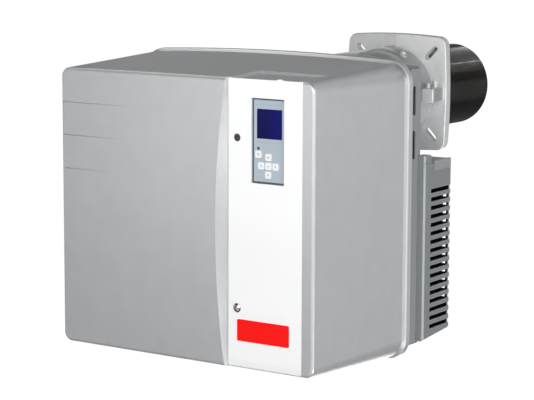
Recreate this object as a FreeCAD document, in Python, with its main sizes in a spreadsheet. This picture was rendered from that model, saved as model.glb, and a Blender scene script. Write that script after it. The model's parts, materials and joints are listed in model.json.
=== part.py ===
import FreeCAD, Part
import math
import os
import Sketcher

# Pressure-jet oil burner: pull-off cover with control panel, rear tray, air intake
# box, fan housing with motor and oil pump, nozzle line and blast tube.
# Frame: origin at the centre of the flange face that meets the boiler, on the axis of
# the blast tube. +Y points into the boiler, +X to the right seen from the front, +Z up.
# The pieces are drawn with that face at Y = flange_back and moved to Y = 0 as they are written.

V = FreeCAD.Vector
doc = FreeCAD.newDocument("burner")
sheet = doc.addObject("Spreadsheet::Sheet", "Dims")


# ---------------------------------------------------------------- dimensions
class Size:
    """A number together with the sheet formula it comes from."""

    def __init__(self, value, text):
        self.value = float(value)
        self.text = text

    def __add__(self, o):
        return Size(self.value + num(o), "(%s + %s)" % (self.text, txt(o)))

    __radd__ = __add__

    def __sub__(self, o):
        return Size(self.value - num(o), "(%s - %s)" % (self.text, txt(o)))

    def __rsub__(self, o):
        return Size(num(o) - self.value, "(%s - %s)" % (txt(o), self.text))

    def __mul__(self, o):
        return Size(self.value * num(o), "(%s * %s)" % (self.text, txt(o)))

    __rmul__ = __mul__

    def __truediv__(self, o):
        return Size(self.value / num(o), "(%s / %s)" % (self.text, txt(o)))

    def __rtruediv__(self, o):
        return Size(num(o) / self.value, "(%s / %s)" % (txt(o), self.text))

    def __neg__(self):
        return Size(-self.value, "(0 - %s)" % self.text)

    def root(self):
        return Size(math.sqrt(self.value), "sqrt(%s)" % self.text)


def num(o):
    return o.value if isinstance(o, Size) else float(o)


def txt(o):
    if isinstance(o, Size):
        return o.text
    return "(0 - %.6f)" % -o if o < 0 else "%.6f" % o


ROW = [1]


def dim(alias, value, note):
    r = ROW[0]
    ROW[0] += 1
    sheet.set("A%d" % r, note)
    sheet.set("B%d" % r, "%g" % value)
    sheet.setAlias("B%d" % r, alias)
    return Size(value, "Dims.%s" % alias)


# cover
cover_wall = dim("cover_wall", 3.0, "cover wall")
cover_front = dim("cover_front", -357.0, "raised front face, Y")
panel_face = dim("panel_face", -352.0, "control panel face, Y")
cover_left = dim("cover_left", -347.5, "cover left edge at the front, X")
cover_right = dim("cover_right", 85.5, "cover right edge at the front, X")
cover_low = dim("cover_low", -357.5, "cover lower edge at the front, Z")
cover_high = dim("cover_high", 42.0, "cover upper edge at the front, Z")
flare_side = dim("flare_side", 4.0, "growth of the right side to the lip")
flare_left = dim("flare_left", 27.0, "growth of the left side to the lip")
flare_low = dim("flare_low", 13.5, "growth of the underside to the lip")
flare_high = dim("flare_high", 14.5, "growth of the crown to the lip")
lip_step = dim("lip_step", 3.0, "outward step of the lip")
lip_start = dim("lip_start", -129.0, "start of the lip step, Y")
lip_top = dim("lip_top", -122.0, "end of the lip step, Y")
cover_back = dim("cover_back", -113.0, "rear edge of the cover, Y")
corner_front = dim("corner_front", 13.0, "front corner radius")
corner_back = dim("corner_back", 31.0, "lip corner radius")
crown_front = dim("crown_front", 0.6, "bow of the top edge at the front")
crown_back = dim("crown_back", 6.8, "bow of the top edge at the lip")
# control panel
panel_left = dim("panel_left", -55.0, "panel left edge, X")
panel_right = dim("panel_right", 66.8, "panel right edge, X")
panel_top = dim("panel_top", 41.2, "panel top edge, Z")
panel_low = dim("panel_low", -356.2, "panel lower edge, Z")
panel_thick = dim("panel_thick", 2.8, "panel thickness")
disp_left = dim("disp_left", -16.9, "display opening left, X")
disp_right = dim("disp_right", 37.3, "display opening right, X")
disp_low = dim("disp_low", -99.5, "display opening bottom, Z")
disp_high = dim("disp_high", 16.2, "display opening top, Z")
disp_face_y = dim("disp_face_y", -348.0, "display face, Y")
lock_x = dim("lock_x", -39.9, "cover fasteners, X")
lock_up_z = dim("lock_up_z", -39.3, "upper fastener, Z")
lock_low_z = dim("lock_low_z", -274.4, "lower fastener, Z")
key_size = dim("key_size", 10.0, "key cap side")
key_travel = dim("key_travel", 0.8, "key travel")
# rear tray
tray_left = dim("tray_left", -367.0, "tray left, X")
tray_right = dim("tray_right", 89.0, "tray right, X")
tray_low = dim("tray_low", -355.5, "tray bottom, Z")
tray_high = dim("tray_high", 46.5, "tray top, Z")
tray_front = dim("tray_front", -120.5, "tray rim front, Y")
tray_back = dim("tray_back", -84.0, "tray back face, Y")
tray_wall = dim("tray_wall", 2.5, "tray wall")
# air intake box
box_left = dim("box_left", 5.0, "intake box left, X")
box_front = dim("box_front", -90.0, "intake box front edge, Y")
box_back = dim("box_back", -8.0, "intake box rear face, Y")
box_low = dim("box_low", -351.0, "intake box bottom, Z")
box_high = dim("box_high", -91.5, "intake box top, Z")
box_side_f = dim("box_side_f", 101.5, "intake box side at the front, X")
box_side_b = dim("box_side_b", 98.2, "intake box side at the rear, X")
box_wall = dim("box_wall", 2.8, "intake box wall")
slot_pitch = dim("slot_pitch", 12.4, "grille slot pitch")
slot_open = dim("slot_open", 6.4, "grille slot height")
# flange and tube
flange_half = dim("flange_half", 83.0, "half side of the flange at its corners")
flange_bow = dim("flange_bow", 2.5, "bow of the flange sides")
flange_thick = dim("flange_thick", 12.0, "flange thickness")
flange_back = dim("flange_back", 6.0, "boiler face of the flange, Y")
flange_corner = dim("flange_corner", 14.0, "flange corner radius")
fix_radius = dim("fix_radius", 83.5, "radius of the slot centres")
fix_slot = dim("fix_slot", 26.0, "slot length over its ends")
fix_width = dim("fix_width", 9.0, "slot width")
tube_outer = dim("tube_outer", 61.0, "blast tube outer radius")
tube_root = dim("tube_root", 60.4, "blast tube outer radius inside the flange")
tube_inner = dim("tube_inner", 59.4, "blast tube inner radius")
tube_end = dim("tube_end", 163.0, "blast tube end, Y")
tube_seat = dim("tube_seat", -8.0, "blast tube seat, Y")
collar_inner = dim("collar_inner", 57.5, "collar bore radius")
# fan housing
fan_y = dim("fan_y", -203.0, "fan axis, Y")
fan_z = dim("fan_z", -108.0, "fan axis, Z")
scroll_a = dim("scroll_a", 100.0, "first scroll radius")
scroll_b = dim("scroll_b", 118.0, "second scroll radius")
scroll_c = dim("scroll_c", 133.0, "third scroll radius")
scroll_half = dim("scroll_half", 38.0, "half width of the fan housing")
scroll_wall = dim("scroll_wall", 4.0, "fan housing wall")
wheel_radius = dim("wheel_radius", 75.0, "fan wheel radius")
# air duct
duct_left = dim("duct_left", -48.0, "duct left, X")
duct_right = dim("duct_right", 81.5, "duct right, X")
duct_front = dim("duct_front", -300.0, "duct front, Y")
duct_low = dim("duct_low", -345.0, "duct bottom, Z")
duct_high = dim("duct_high", -222.0, "duct top under the fan housing, Z")
duct_wall = dim("duct_wall", 3.0, "duct wall")
flap_y = dim("flap_y", -190.0, "damper axis, Y")
flap_z = dim("flap_z", -283.5, "damper axis, Z")
# drive
motor_radius = dim("motor_radius", 56.0, "motor body radius")
motor_end = dim("motor_end", -178.0, "motor body end, X")
shaft_radius = dim("shaft_radius", 6.35, "motor shaft radius")
rod_radius = dim("rod_radius", 6.0, "nozzle rod radius")
doc.recompute()

# ---------------------------------------------------------------- helpers
NODES = []
COUNT = [0]


def uname(stem):
    COUNT[0] += 1
    return "%s_%03d" % (stem, COUNT[0])


def bind(obj, prop, size):
    if isinstance(size, Size):
        obj.setExpression(prop, size.text)


def setpos(obj, x, y, z, rot=None):
    obj.Placement = FreeCAD.Placement(V(num(x), num(y), num(z)), rot or FreeCAD.Rotation())
    bind(obj, "Placement.Base.x", x)
    bind(obj, "Placement.Base.y", y)
    bind(obj, "Placement.Base.z", z)


def box(x0, y0, z0, x1, y1, z1):
    o = doc.addObject("Part::Box", uname("box"))
    for prop, a, b in (("Length", x0, x1), ("Width", y0, y1), ("Height", z0, z1)):
        setattr(o, prop, num(b) - num(a))
        if isinstance(a, Size) or isinstance(b, Size):
            bind(o, prop, Size(num(b) - num(a), "(%s - %s)" % (txt(b), txt(a))))
    setpos(o, x0, y0, z0)
    return o


AXES = {"X": FreeCAD.Rotation(V(0, 1, 0), 90), "Y": FreeCAD.Rotation(V(1, 0, 0), -90),
        "Z": FreeCAD.Rotation()}


def cyl(axis, x, y, z, r, h):
    """Cylinder from the point (x, y, z) along +axis."""
    o = doc.addObject("Part::Cylinder", uname("cyl"))
    o.Radius = num(r)
    o.Height = num(h)
    bind(o, "Radius", r)
    bind(o, "Height", h)
    setpos(o, x, y, z, AXES[axis])
    return o


def cone(axis, x, y, z, r1, r2, h):
    o = doc.addObject("Part::Cone", uname("cone"))
    o.Radius1 = num(r1)
    o.Radius2 = num(r2)
    o.Height = num(h)
    bind(o, "Radius1", r1)
    bind(o, "Radius2", r2)
    bind(o, "Height", h)
    setpos(o, x, y, z, AXES[axis])
    return o


def hexagon(axis, x, y, z, across, h):
    o = doc.addObject("Part::Prism", uname("hex"))
    o.Polygon = 6
    o.Circumradius = num(across) / math.sqrt(3.0)
    if isinstance(across, Size):
        o.setExpression("Circumradius", "%s / sqrt(3)" % across.text)
    o.Height = num(h)
    bind(o, "Height", h)
    setpos(o, x, y, z, AXES[axis])
    return o


def dome(x, y, z, r):
    o = doc.addObject("Part::Sphere", uname("ball"))
    o.Radius = num(r)
    bind(o, "Radius", r)
    setpos(o, x, y, z)
    return o


def fuse(*parts):
    if len(parts) == 1:
        return parts[0]
    o = doc.addObject("Part::MultiFuse", uname("fuse"))
    o.Shapes = list(parts)
    return o


def group(*parts):
    """Separate solids that share one node."""
    o = doc.addObject("Part::Compound", uname("set"))
    o.Links = list(parts)
    return o


def cut(base, *tools):
    o = doc.addObject("Part::Cut", uname("cut"))
    o.Base = base
    o.Tool = tools[0] if len(tools) == 1 else fuse(*tools)
    return o


def common(a, b):
    o = doc.addObject("Part::MultiCommon", uname("common"))
    o.Shapes = [a, b]
    return o


PLANES = {"XZ": FreeCAD.Rotation(V(1, 0, 0), 90),
          "YZ": FreeCAD.Rotation(V(0, 1, 0), V(0, 0, 1), V(1, 0, 0), "ZXY"),
          "XY": FreeCAD.Rotation()}
PLANE_AXIS = {"XZ": "Placement.Base.y", "YZ": "Placement.Base.x", "XY": "Placement.Base.z"}


def outline(plane, at, points, arcs=None):
    """Closed sketch outline. points are (u, v); arcs maps a segment's number to
    (radius, side), side +1 if the arc bulges to the right of the walk."""
    s = doc.addObject("Sketcher::SketchObject", uname("outline"))
    base = {"XZ": V(0, num(at), 0), "YZ": V(num(at), 0, 0), "XY": V(0, 0, num(at))}[plane]
    s.Placement = FreeCAD.Placement(base, PLANES[plane])
    bind(s, PLANE_AXIS[plane], at)
    arcs = arcs or {}
    n = len(points)
    starts = []
    for i in range(n):
        a = V(num(points[i][0]), num(points[i][1]), 0)
        b = V(num(points[(i + 1) % n][0]), num(points[(i + 1) % n][1]), 0)
        if i in arcs:
            r, side = num(arcs[i][0]), arcs[i][1]
            ch = b - a
            right = V(ch.y, -ch.x, 0)
            right.normalize()
            d = math.sqrt(max(r * r - (ch.Length / 2) ** 2, 0.0))
            c = (a + b) * 0.5 - right * (side * d)
            t0 = math.atan2(a.y - c.y, a.x - c.x)
            t1 = math.atan2(b.y - c.y, b.x - c.x)
            if side > 0:
                while t1 < t0:
                    t1 += 2 * math.pi
                s.addGeometry(Part.ArcOfCircle(Part.Circle(c, V(0, 0, 1), r), t0, t1), False)
                starts.append((1, 2))
            else:
                while t0 < t1:
                    t0 += 2 * math.pi
                s.addGeometry(Part.ArcOfCircle(Part.Circle(c, V(0, 0, 1), r), t1, t0), False)
                starts.append((2, 1))
        else:
            s.addGeometry(Part.LineSegment(a, b), False)
            starts.append((1, 2))
    for i in range(n):
        j = (i + 1) % n
        s.addConstraint(Sketcher.Constraint("Coincident", i, starts[i][1], j, starts[j][0]))
    for i in range(n):
        for k, kind, axis in ((0, "DistanceX", -2), (1, "DistanceY", -1)):
            val = points[i][k]
            if abs(num(val)) < 1e-9:
                s.addConstraint(Sketcher.Constraint("PointOnObject", i, starts[i][0], axis))
            else:
                c = s.addConstraint(Sketcher.Constraint(kind, -1, 1, i, starts[i][0], num(val)))
                if isinstance(val, Size):
                    s.setExpression("Constraints[%d]" % c, val.text)
    for i in arcs:
        c = s.addConstraint(Sketcher.Constraint("Radius", i, num(arcs[i][0])))
        if isinstance(arcs[i][0], Size):
            s.setExpression("Constraints[%d]" % c, arcs[i][0].text)
    return s


def prism(sk, direction, length):
    o = doc.addObject("Part::Extrusion", uname("prism"))
    o.Base = sk
    o.DirMode = "Custom"
    o.Dir = direction
    o.LengthFwd = num(length)
    bind(o, "LengthFwd", length)
    o.Solid = True
    return o


def loft(*sketches):
    o = doc.addObject("Part::Loft", uname("loft"))
    o.Sections = list(sketches)
    o.Solid = True
    o.Ruled = True
    return o


def rounded(plane, at, u0, u1, v0, v1, r, crown=None):
    """Rounded rectangle; a crown bows the upper side to v1 at its middle."""
    if crown is None:
        pts = [(u0 + r, v0), (u1 - r, v0), (u1, v0 + r), (u1, v1 - r), (u1 - r, v1),
               (u0 + r, v1), (u0, v1 - r), (u0, v0 + r)]
        return outline(plane, at, pts, {1: (r, 1), 3: (r, 1), 5: (r, 1), 7: (r, 1)})
    w = u1 - u0
    big = w * w / (8 * crown) + crown / 2
    mid = (u0 + u1) / 2
    cv = v1 - big
    # centre of the corner arc: big - r away from the crown's centre
    a = w / 2 - r
    h = ((big - r) * (big - r) - a * a).root()
    cz = cv + h
    tx = a * big / (big - r)
    tz = cv + h * big / (big - r)
    pts = [(u0 + r, v0), (u1 - r, v0), (u1, v0 + r), (u1, cz), (mid + tx, tz),
           (mid - tx, tz), (u0, cz), (u0, v0 + r)]
    return outline(plane, at, pts, {1: (r, 1), 3: (r, 1), 4: (big, 1), 5: (r, 1), 7: (r, 1)})


def rounded4(plane, at, u0, u1, v0, v1, radii):
    """Rounded rectangle with its own radius at each corner: lower left, lower right,
    upper right, upper left."""
    a, b, c, d = radii
    pts = [(u0 + a, v0), (u1 - b, v0), (u1, v0 + b), (u1, v1 - c), (u1 - c, v1),
           (u0 + d, v1), (u0, v1 - d), (u0, v0 + a)]
    return outline(plane, at, pts, {1: (b, 1), 3: (c, 1), 5: (d, 1), 7: (a, 1)})


def rbox(plane, at, length, u0, u1, v0, v1, r, sign=1):
    """Rounded plate: an extruded rounded rectangle along +axis of its plane."""
    d = {"XZ": V(0, 1, 0), "YZ": V(1, 0, 0), "XY": V(0, 0, 1)}[plane]
    return prism(rounded(plane, at, u0, u1, v0, v1, r), d * sign, length)


def fillet(base, radius, pick):
    doc.recompute()
    edges = [i + 1 for i, e in enumerate(base.Shape.Edges) if pick(e)]
    if not edges:
        raise RuntimeError("no edges for fillet on " + base.Name)
    o = doc.addObject("Part::Fillet", uname("fillet"))
    o.Base = base
    o.Edges = [(i, num(radius), num(radius)) for i in edges]
    return o


def ends(e):
    return [v.Point for v in e.Vertexes]


def along(e, axis):
    p = ends(e)
    if len(p) < 2 or not isinstance(e.Curve, Part.Line):
        return False
    d = p[1] - p[0]
    return abs({"X": d.x, "Y": d.y, "Z": d.z}[axis]) > 0.999 * d.Length


def pipe(points, radius, bend):
    """Round tube along straight runs joined by tangent arcs."""
    pts = [V(*p) for p in points]
    edges = []
    here = pts[0]
    radii = []
    for i in range(1, len(pts) - 1):
        a = (pts[i - 1] - pts[i])
        b = (pts[i + 1] - pts[i])
        a.normalize()
        b.normalize()
        turn = math.pi - a.getAngle(b)
        t = bend * math.tan(turn / 2)
        p, q = pts[i] + a * t, pts[i] + b * t
        m = a + b
        m.normalize()
        mid = pts[i] + m * (bend / math.cos(turn / 2) - bend)
        if (p - here).Length > 1e-6:
            edges.append(Part.LineSegment(here, p).toShape())
        edges.append(Part.Arc(p, mid, q).toShape())
        radii.append(round(bend, 1))
        here = q
    edges.append(Part.LineSegment(here, pts[-1]).toShape())
    path = doc.addObject("Part::Feature", uname("path"))
    path.Shape = Part.Wire(edges)
    ring = doc.addObject("Part::Circle", uname("ring"))
    ring.Radius = num(radius)
    bind(ring, "Radius", radius)
    d = pts[1] - pts[0]
    ring.Placement = FreeCAD.Placement(pts[0], FreeCAD.Rotation(V(0, 0, 1), d))
    o = doc.addObject("Part::Sweep", uname("pipe"))
    o.Sections = [ring]
    o.Spine = (path, ["Edge%d" % (i + 1) for i in range(len(edges))])
    o.Solid = True
    o.Frenet = False
    return o


def node(obj, label):
    obj.Label = label
    NODES.append((label, obj))
    return obj


X, Y, Z = V(1, 0, 0), V(0, 1, 0), V(0, 0, 1)

# ---------------------------------------------------------------- cover shell
def cover_section(y, inset, left, side, low, high, r, crown):
    return rounded("XZ", y, cover_left - left + inset, cover_right + side - inset,
                   cover_low - low + inset, cover_high + high - inset, r - inset, crown)


zero = Size(0.0, "0")
outer = loft(
    cover_section(cover_front, zero, zero, zero, zero, zero, corner_front, crown_front),
    cover_section(lip_start, zero, flare_left, flare_side, flare_low, flare_high, corner_back - 3, crown_back - 0.4),
    cover_section(lip_top, zero, flare_left + lip_step, flare_side + lip_step, flare_low + lip_step, flare_high + lip_step + 0.8,
                  corner_back, crown_back),
    cover_section(cover_back, zero, flare_left + lip_step + 0.5, flare_side + lip_step + 0.5, flare_low + lip_step + 0.5,
                  flare_high + lip_step + 1.4, corner_back, crown_back))
outer = fillet(outer, 4.5, lambda e: all(abs(p.y - num(cover_front)) < 0.01 for p in ends(e)))
w = cover_wall
inner = loft(
    cover_section(panel_face + 6, w, zero, zero, zero, zero, corner_front, crown_front),
    cover_section(lip_start + 1.2, w, flare_left, flare_side, flare_low, flare_high, corner_back - 3, crown_back - 0.4),
    cover_section(lip_top + 1.2, w, flare_left + lip_step, flare_side + lip_step, flare_low + lip_step, flare_high + lip_step + 0.8,
                  corner_back, crown_back),
    cover_section(cover_back + 2, w, flare_left + lip_step + 0.5, flare_side + lip_step + 0.5, flare_low + lip_step + 0.5,
                  flare_high + lip_step + 1.4, corner_back, crown_back))
# pocket behind the raised face, so that the wall stays even
back_pocket = rbox("XZ", cover_front + w, panel_face + 7 - (cover_front + w), cover_left + w + 3,
                   panel_left - 36, cover_low + w + 3, cover_high - w - 4, corner_front - w)
# the field right of the curved bevel lies lower than the raised face
bevel_x = panel_left - 0.8
apex = bevel_x - 21.2
low_z, top_z = -372.0, 45.0
half_h = (top_z - low_z) / 2
bow = bevel_x - apex
bow_r = bow / 2 + half_h * half_h / (2 * bow)
field = loft(
    outline("XZ", cover_front - 1, [(bevel_x, low_z), (cover_right + 20, low_z), (cover_right + 20, top_z),
                                    (bevel_x, top_z)], {3: (bow_r, 1)}),
    outline("XZ", panel_face, [(bevel_x, low_z), (cover_right + 20, low_z), (cover_right + 20, top_z),
                               (bevel_x, top_z)]))
panel_seat = box(panel_left - 0.3, panel_face - 1, cover_low - 4, panel_right + 0.3,
                 panel_face + panel_thick, cover_high + 6)
# shallow recess in the top behind the panel
slope = (flare_high) / (lip_start - cover_front)
rec_front, rec_back = panel_face - 1, Size(-283.0, "(0 - 283)")
rec_floor_f = cover_high - 4.0
rec_floor_b = cover_high - 4.0 + (rec_back - rec_front) * slope
rec_left, rec_right = Size(-50.0, "(0 - 50)"), Size(60.8, "60.8")


def recess_section(x, lift):
    """Cross section of the recess; lift raises the floor towards a sloped side wall."""
    return outline("YZ", x, [(rec_front, rec_floor_f + lift), (rec_back - 0.4 * lift, rec_floor_b + lift - 0.02 * lift),
                             (rec_back + 2.4, rec_floor_b + 4.8 + 0.1 * lift), (rec_back + 2.4, 75.0), (rec_front, 75.0)])


recess = loft(recess_section(rec_left - 2.4, 4.6), recess_section(rec_left, 0.0), recess_section(rec_right, 0.0))
backing = prism(outline("YZ", rec_left - 6, [(panel_face + 5, rec_floor_f - 3.2), (rec_back + 6, rec_floor_b - 3),
                                             (rec_back + 6, rec_floor_b + 3), (panel_face + 5, rec_floor_f + 1.5)]),
                X, rec_right - rec_left + 10)
# three notches that fade out to the right
def notch(z, x_end, depth):
    y0 = cover_front
    tip = y0 + depth
    a = outline("YZ", cover_left - 1, [(y0 - 4, z - depth * 0.8 - 1.6), (tip, z), (y0 - 4, z + depth * 0.8 + 1.6)])
    b = outline("YZ", Size(x_end, "(0 - %g)" % -x_end), [(y0 - 4, z - 1.9), (y0 - 0.02, z), (y0 - 4, z + 1.9)])
    return loft(a, b)


def side_notch(z, y_end, depth):
    x0 = cover_left
    a = outline("XZ", cover_front - 1, [(x0 - 5, z - depth * 0.8 - 1.6), (x0 - 5, z + depth * 0.8 + 1.6), (x0 + depth, z)])
    grow = flare_left * ((y_end - num(cover_front)) / (num(lip_start) - num(cover_front)))
    b = outline("XZ", Size(y_end, "(0 - %g)" % -y_end), [(x0 - grow - 4.6, z - 1.9), (x0 - grow - 4.6, z + 1.9),
                                                        (x0 - grow, z)])
    return loft(a, b)


notches = []
for nz, nx in ((-7.9, -200.0), (-55.0, -225.0), (-103.5, -246.0)):
    notches.append(notch(nz, nx, Size(1.7, "1.7")))
    notches.append(side_notch(nz, -250.0, Size(1.3, "1.3")))
disp_hole = rbox("XZ", panel_face - 3, 12, disp_left, disp_right, disp_low, disp_high, Size(1.2, "1.2"))
lock_holes = []
for lz, hole_r in ((lock_up_z, Size(5.5, "5.5")), (lock_low_z, Size(6.5, "6.5"))):
    lock_holes.append(cyl("Y", lock_x, panel_face - 3, lz, hole_r, 7.0))
    lock_holes.append(cyl("Y", lock_x, panel_face - 3, lz, 3.06, 12.0))
def front_section(y):
    t = (y - cover_front) / (lip_start - cover_front)
    return cover_section(y, -0.06, flare_left * t, flare_side * t, flare_low * t, flare_high * t,
                         corner_front + (corner_back - 3 - corner_front) * t,
                         crown_front + (crown_back - 0.4 - crown_front) * t)


edge_block = fillet(loft(front_section(panel_face), front_section(panel_face + 14)), 4.2,
                    lambda e: all(abs(p.y - num(panel_face)) < 0.01 for p in ends(e)))
edge_tool = cut(box(bevel_x + 0.2, panel_face - 0.5, cover_low - 12, cover_right + 12, panel_face + 5, cover_high + 14),
                edge_block)
shell = cut(outer, cut(inner, backing), back_pocket)
shell = cut(shell, field)
shell = cut(shell, edge_tool)
shell = cut(shell, panel_seat)
shell = cut(shell, recess, disp_hole, *(lock_holes + notches))
node(shell, "cover_shell")

# control panel with its chamfered foot and centre tab
panel = prism(outline("XZ", panel_face, [(panel_left, panel_low), (panel_right, panel_low),
                                         (panel_right, panel_top), (panel_left, panel_top)]), Y, panel_thick)
panel = fillet(panel, 0.8, lambda e: along(e, "Z") and abs(ends(e)[0].y - num(panel_face)) < 0.01)
tab = common(cyl("Y", 30.0, panel_face + 0.2, panel_top - 8, 9.8, panel_thick - 0.4),
             box(12.0, panel_face - 1, panel_top - 12, 48.0, panel_face + 4, panel_top + 4))
foot = prism(outline("YZ", panel_left - 1, [(panel_face - 1, panel_low - 1), (panel_face + 1.9, panel_low - 1),
                                            (panel_face + 1.7, panel_low), (panel_face, panel_low + 9),
                                            (panel_face - 1, panel_low + 9)]), X, panel_right - panel_left + 2)
panel = cut(fuse(panel, tab), foot,
            rbox("XZ", panel_face - 3, 12, disp_left, disp_right, disp_low, disp_high, Size(1.2, "1.2")),
            cyl("Y", lock_x, panel_face - 3, lock_up_z, 5.5, 8.0), cyl("Y", lock_x, panel_face - 3, lock_low_z, 6.5, 8.0))
node(panel, "control_panel")

badge = rbox("XZ", panel_face - 1.0, Size(1.0, "1"), Size(-39.0, "(0 - 39)"), Size(46.8, "46.8"),
             Size(-319.6, "(0 - 319.6)"), Size(-289.5, "(0 - 289.5)"), Size(2.0, "2"))
node(badge, "front_badge")

# quarter-turn cover fasteners
def stud(z, proud, head):
    return fuse(cyl("Y", lock_x, panel_face + 4, z, 3.0, 10.5),
                cyl("Y", lock_x, panel_face - proud, z, head, proud + 4.0))


up = cut(stud(lock_up_z, Size(-0.6, "(0 - 0.6)"), 5.2),
         box(lock_x - 3.9, panel_face, lock_up_z - 0.7, lock_x + 3.9, panel_face + 1.8, lock_up_z + 0.7))
node(up, "lock_upper")
low = fuse(stud(lock_low_z, Size(0.6, "0.6"), 6.2),
           common(dome(lock_x, panel_face + 6.4, lock_low_z, Size(9.4, "9.4")),
                  cyl("Y", lock_x, panel_face - 3.2, lock_low_z, 6.2, 4.0)))
low = cut(low, box(lock_x - 0.8, panel_face - 4, lock_low_z - 5, lock_x + 0.8, panel_face - 1.4, lock_low_z + 5),
          box(lock_x - 5, panel_face - 4, lock_low_z - 0.8, lock_x + 5, panel_face - 1.4, lock_low_z + 0.8))
node(low, "lock_lower")

# ---------------------------------------------------------------- display module
df = disp_face_y
frame_out = rbox("XZ", df, 2.5, disp_left + 0.5, disp_right - 0.5, disp_low + 0.5, disp_high - 0.5, Size(1.0, "1"))
frame_in = rbox("XZ", df - 1, 5.0, disp_left + 2.5, disp_right - 2.5, disp_low + 2.5, disp_high - 2.5, Size(0.6, "0.6"))
node(cut(frame_out, frame_in), "display_bezel")
face = rbox("XZ", df, 2.5, disp_left + 2.5, disp_right - 2.5, disp_low + 2.5, disp_high - 2.5, Size(0.6, "0.6"))
keys = (("key_menu", -7.2, -60.1), ("key_up", 9.5, -63.4), ("key_left", -2.6, -75.4),
        ("key_enter", 9.3, -75.4), ("key_right", 21.2, -75.4), ("key_down", 9.1, -87.3))
lcd = (-10.0, 31.3, -38.7, 1.6)
holes = [box(lcd[0], df - 1, lcd[2], lcd[1], df + 4, lcd[3]), cyl("Y", -7.3, df - 1, -52.0, 1.6, 5.0)]
for label, kx, kz in keys:
    g = key_size / 2 + 0.15
    holes.append(rbox("XZ", df - 1, 5.0, kx - g, kx + g, kz - g, kz + g, Size(2.15, "2.15")))
node(cut(face, *holes), "display_face")
node(box(lcd[0] + 0.05, df + 0.3, lcd[2] + 0.05, lcd[1] - 0.05, df + 5.5, lcd[3] - 0.05), "display_window")
for label, kx, kz in keys:
    h = key_size / 2
    cap = rbox("XZ", df - 0.9, 4.2, kx - h, kx + h, kz - h, kz + h, Size(2.0, "2"))
    cap = fillet(cap, 0.35, lambda e: all(abs(p.y - num(df) + 0.9) < 0.01 for p in ends(e)))
    node(fuse(cap, cyl("Y", kx, df + 2.5, kz, 1.6, 5.5)), label)
hy0, hy1 = df + 2.5, Size(-331.0, "(0 - 331)")
case = cut(rbox("XZ", hy0, hy1 - hy0, disp_left - 3, disp_right + 3, disp_low - 3, disp_high + 3, Size(3.0, "3")),
           rbox("XZ", hy0 - 1, hy1 - hy0 - 1.5, disp_left + 1.4, disp_right - 1.4, disp_low + 1.4, disp_high - 1.4,
                Size(2.0, "2")))
node(case, "display_housing")
led = fuse(cyl("Y", -7.3, df + 0.3, -52.0, 1.5, 8.7), dome(-7.3, df + 0.9, -52.0, 1.5))
node(fuse(box(disp_left + 2, df + 9.0, disp_low + 2, disp_right - 2, df + 10.6, disp_high - 2), led), "display_board")

# ---------------------------------------------------------------- rear tray
tw = tray_wall
rim = Size(10.0, "10")
r24, r21 = Size(24.0, "24"), Size(21.5, "21.5")
tray_body = fuse(rbox("XZ", tray_front, rim, tray_left, tray_right, tray_low, tray_high, r24),
                 prism(rounded4("XZ", tray_front + rim, tray_left, tray_right, tray_low, tray_high,
                                (r24, Size(4.0, "4"), Size(8.0, "8"), r24)), Y, tray_back - tray_front - rim))
tray = cut(tray_body,
           rbox("XZ", tray_front - 1, rim + 6, tray_left + tw, tray_right - tw, tray_low + tw, tray_high - tw, r21),
           prism(rounded4("XZ", tray_front + rim + tw, tray_left + tw, tray_right - tw, tray_low + tw, tray_high - tw,
                          (r21, Size(1.5, "1.5"), Size(5.5, "5.5"), r21)), Y, tray_back - tray_front - rim - tw * 2),
           cyl("Y", 0.0, tray_back - 8, 0.0, 59.6, 12.0),
           box(18.0, tray_back - 8, -338.0, 79.0, tray_back + 4, -232.0))
side_slots = []
for za, zb in ((-22.9, 19.5), (-85.7, -44.0)):
    for xs in (tray_right - 6, tray_left - 4):
        side_slots.append(rbox("YZ", xs, 10.0, Size(-104.9, "(0 - 104.9)"), Size(-97.3, "(0 - 97.3)"),
                               Size(za, txt(za)), Size(zb, txt(zb)), Size(3.7, "3.7")))
vents = []
for i in range(9):
    zz = -210.0 + 13.0 * i
    vents.append(rbox("XZ", tray_back - 6, 10.0, Size(-310.0, "(0 - 310)"), Size(-235.0, "(0 - 235)"),
                      Size(zz, txt(zz)), Size(zz + 5.0, txt(zz + 5.0)), Size(2.4, "2.4")))
oil_x, oil_z = (-265.0, -292.0), -262.0
oil_holes = [cyl("Y", ox, tray_back - 8, oil_z, 7.2, 12.0) for ox in oil_x]
sock_hole = box(-205.0, tray_back - 8, -300.0, -141.0, tray_back + 4, -268.0)
screws = []
screw_holes = []
for sx, sz in ((-325.0, 28.0), (-325.0, -338.0), (-120.0, 30.0), (-90.0, -338.0)):
    screws.append(fuse(cyl("Y", sx, tray_back, sz, 5.5, 2.6), cyl("Y", sx, tray_back - 3, sz, 2.4, 3.2)))
    screw_holes.append(cyl("Y", sx, tray_back - 4, sz, 2.42, 6.0))
node(cut(tray, *(side_slots + vents + oil_holes + screw_holes + [sock_hole])), "rear_housing")
tray_screw_set = group(*screws)

# power socket in the tray
sock = cut(fuse(box(-204.5, tray_back - 24, -299.5, -141.5, tray_back, -268.5),
                box(-209.0, tray_back, -304.0, -137.0, tray_back + 2.5, -264.0)),
           box(-201.5, tray_back - 14, -296.5, -144.5, tray_back + 5, -271.5))
pins = [box(-196.0 + 8.0 * i, tray_back - 15, -286.0, -194.0 + 8.0 * i, tray_back - 2, -282.0) for i in range(7)]
node(fuse(sock, *pins), "power_socket")

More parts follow.
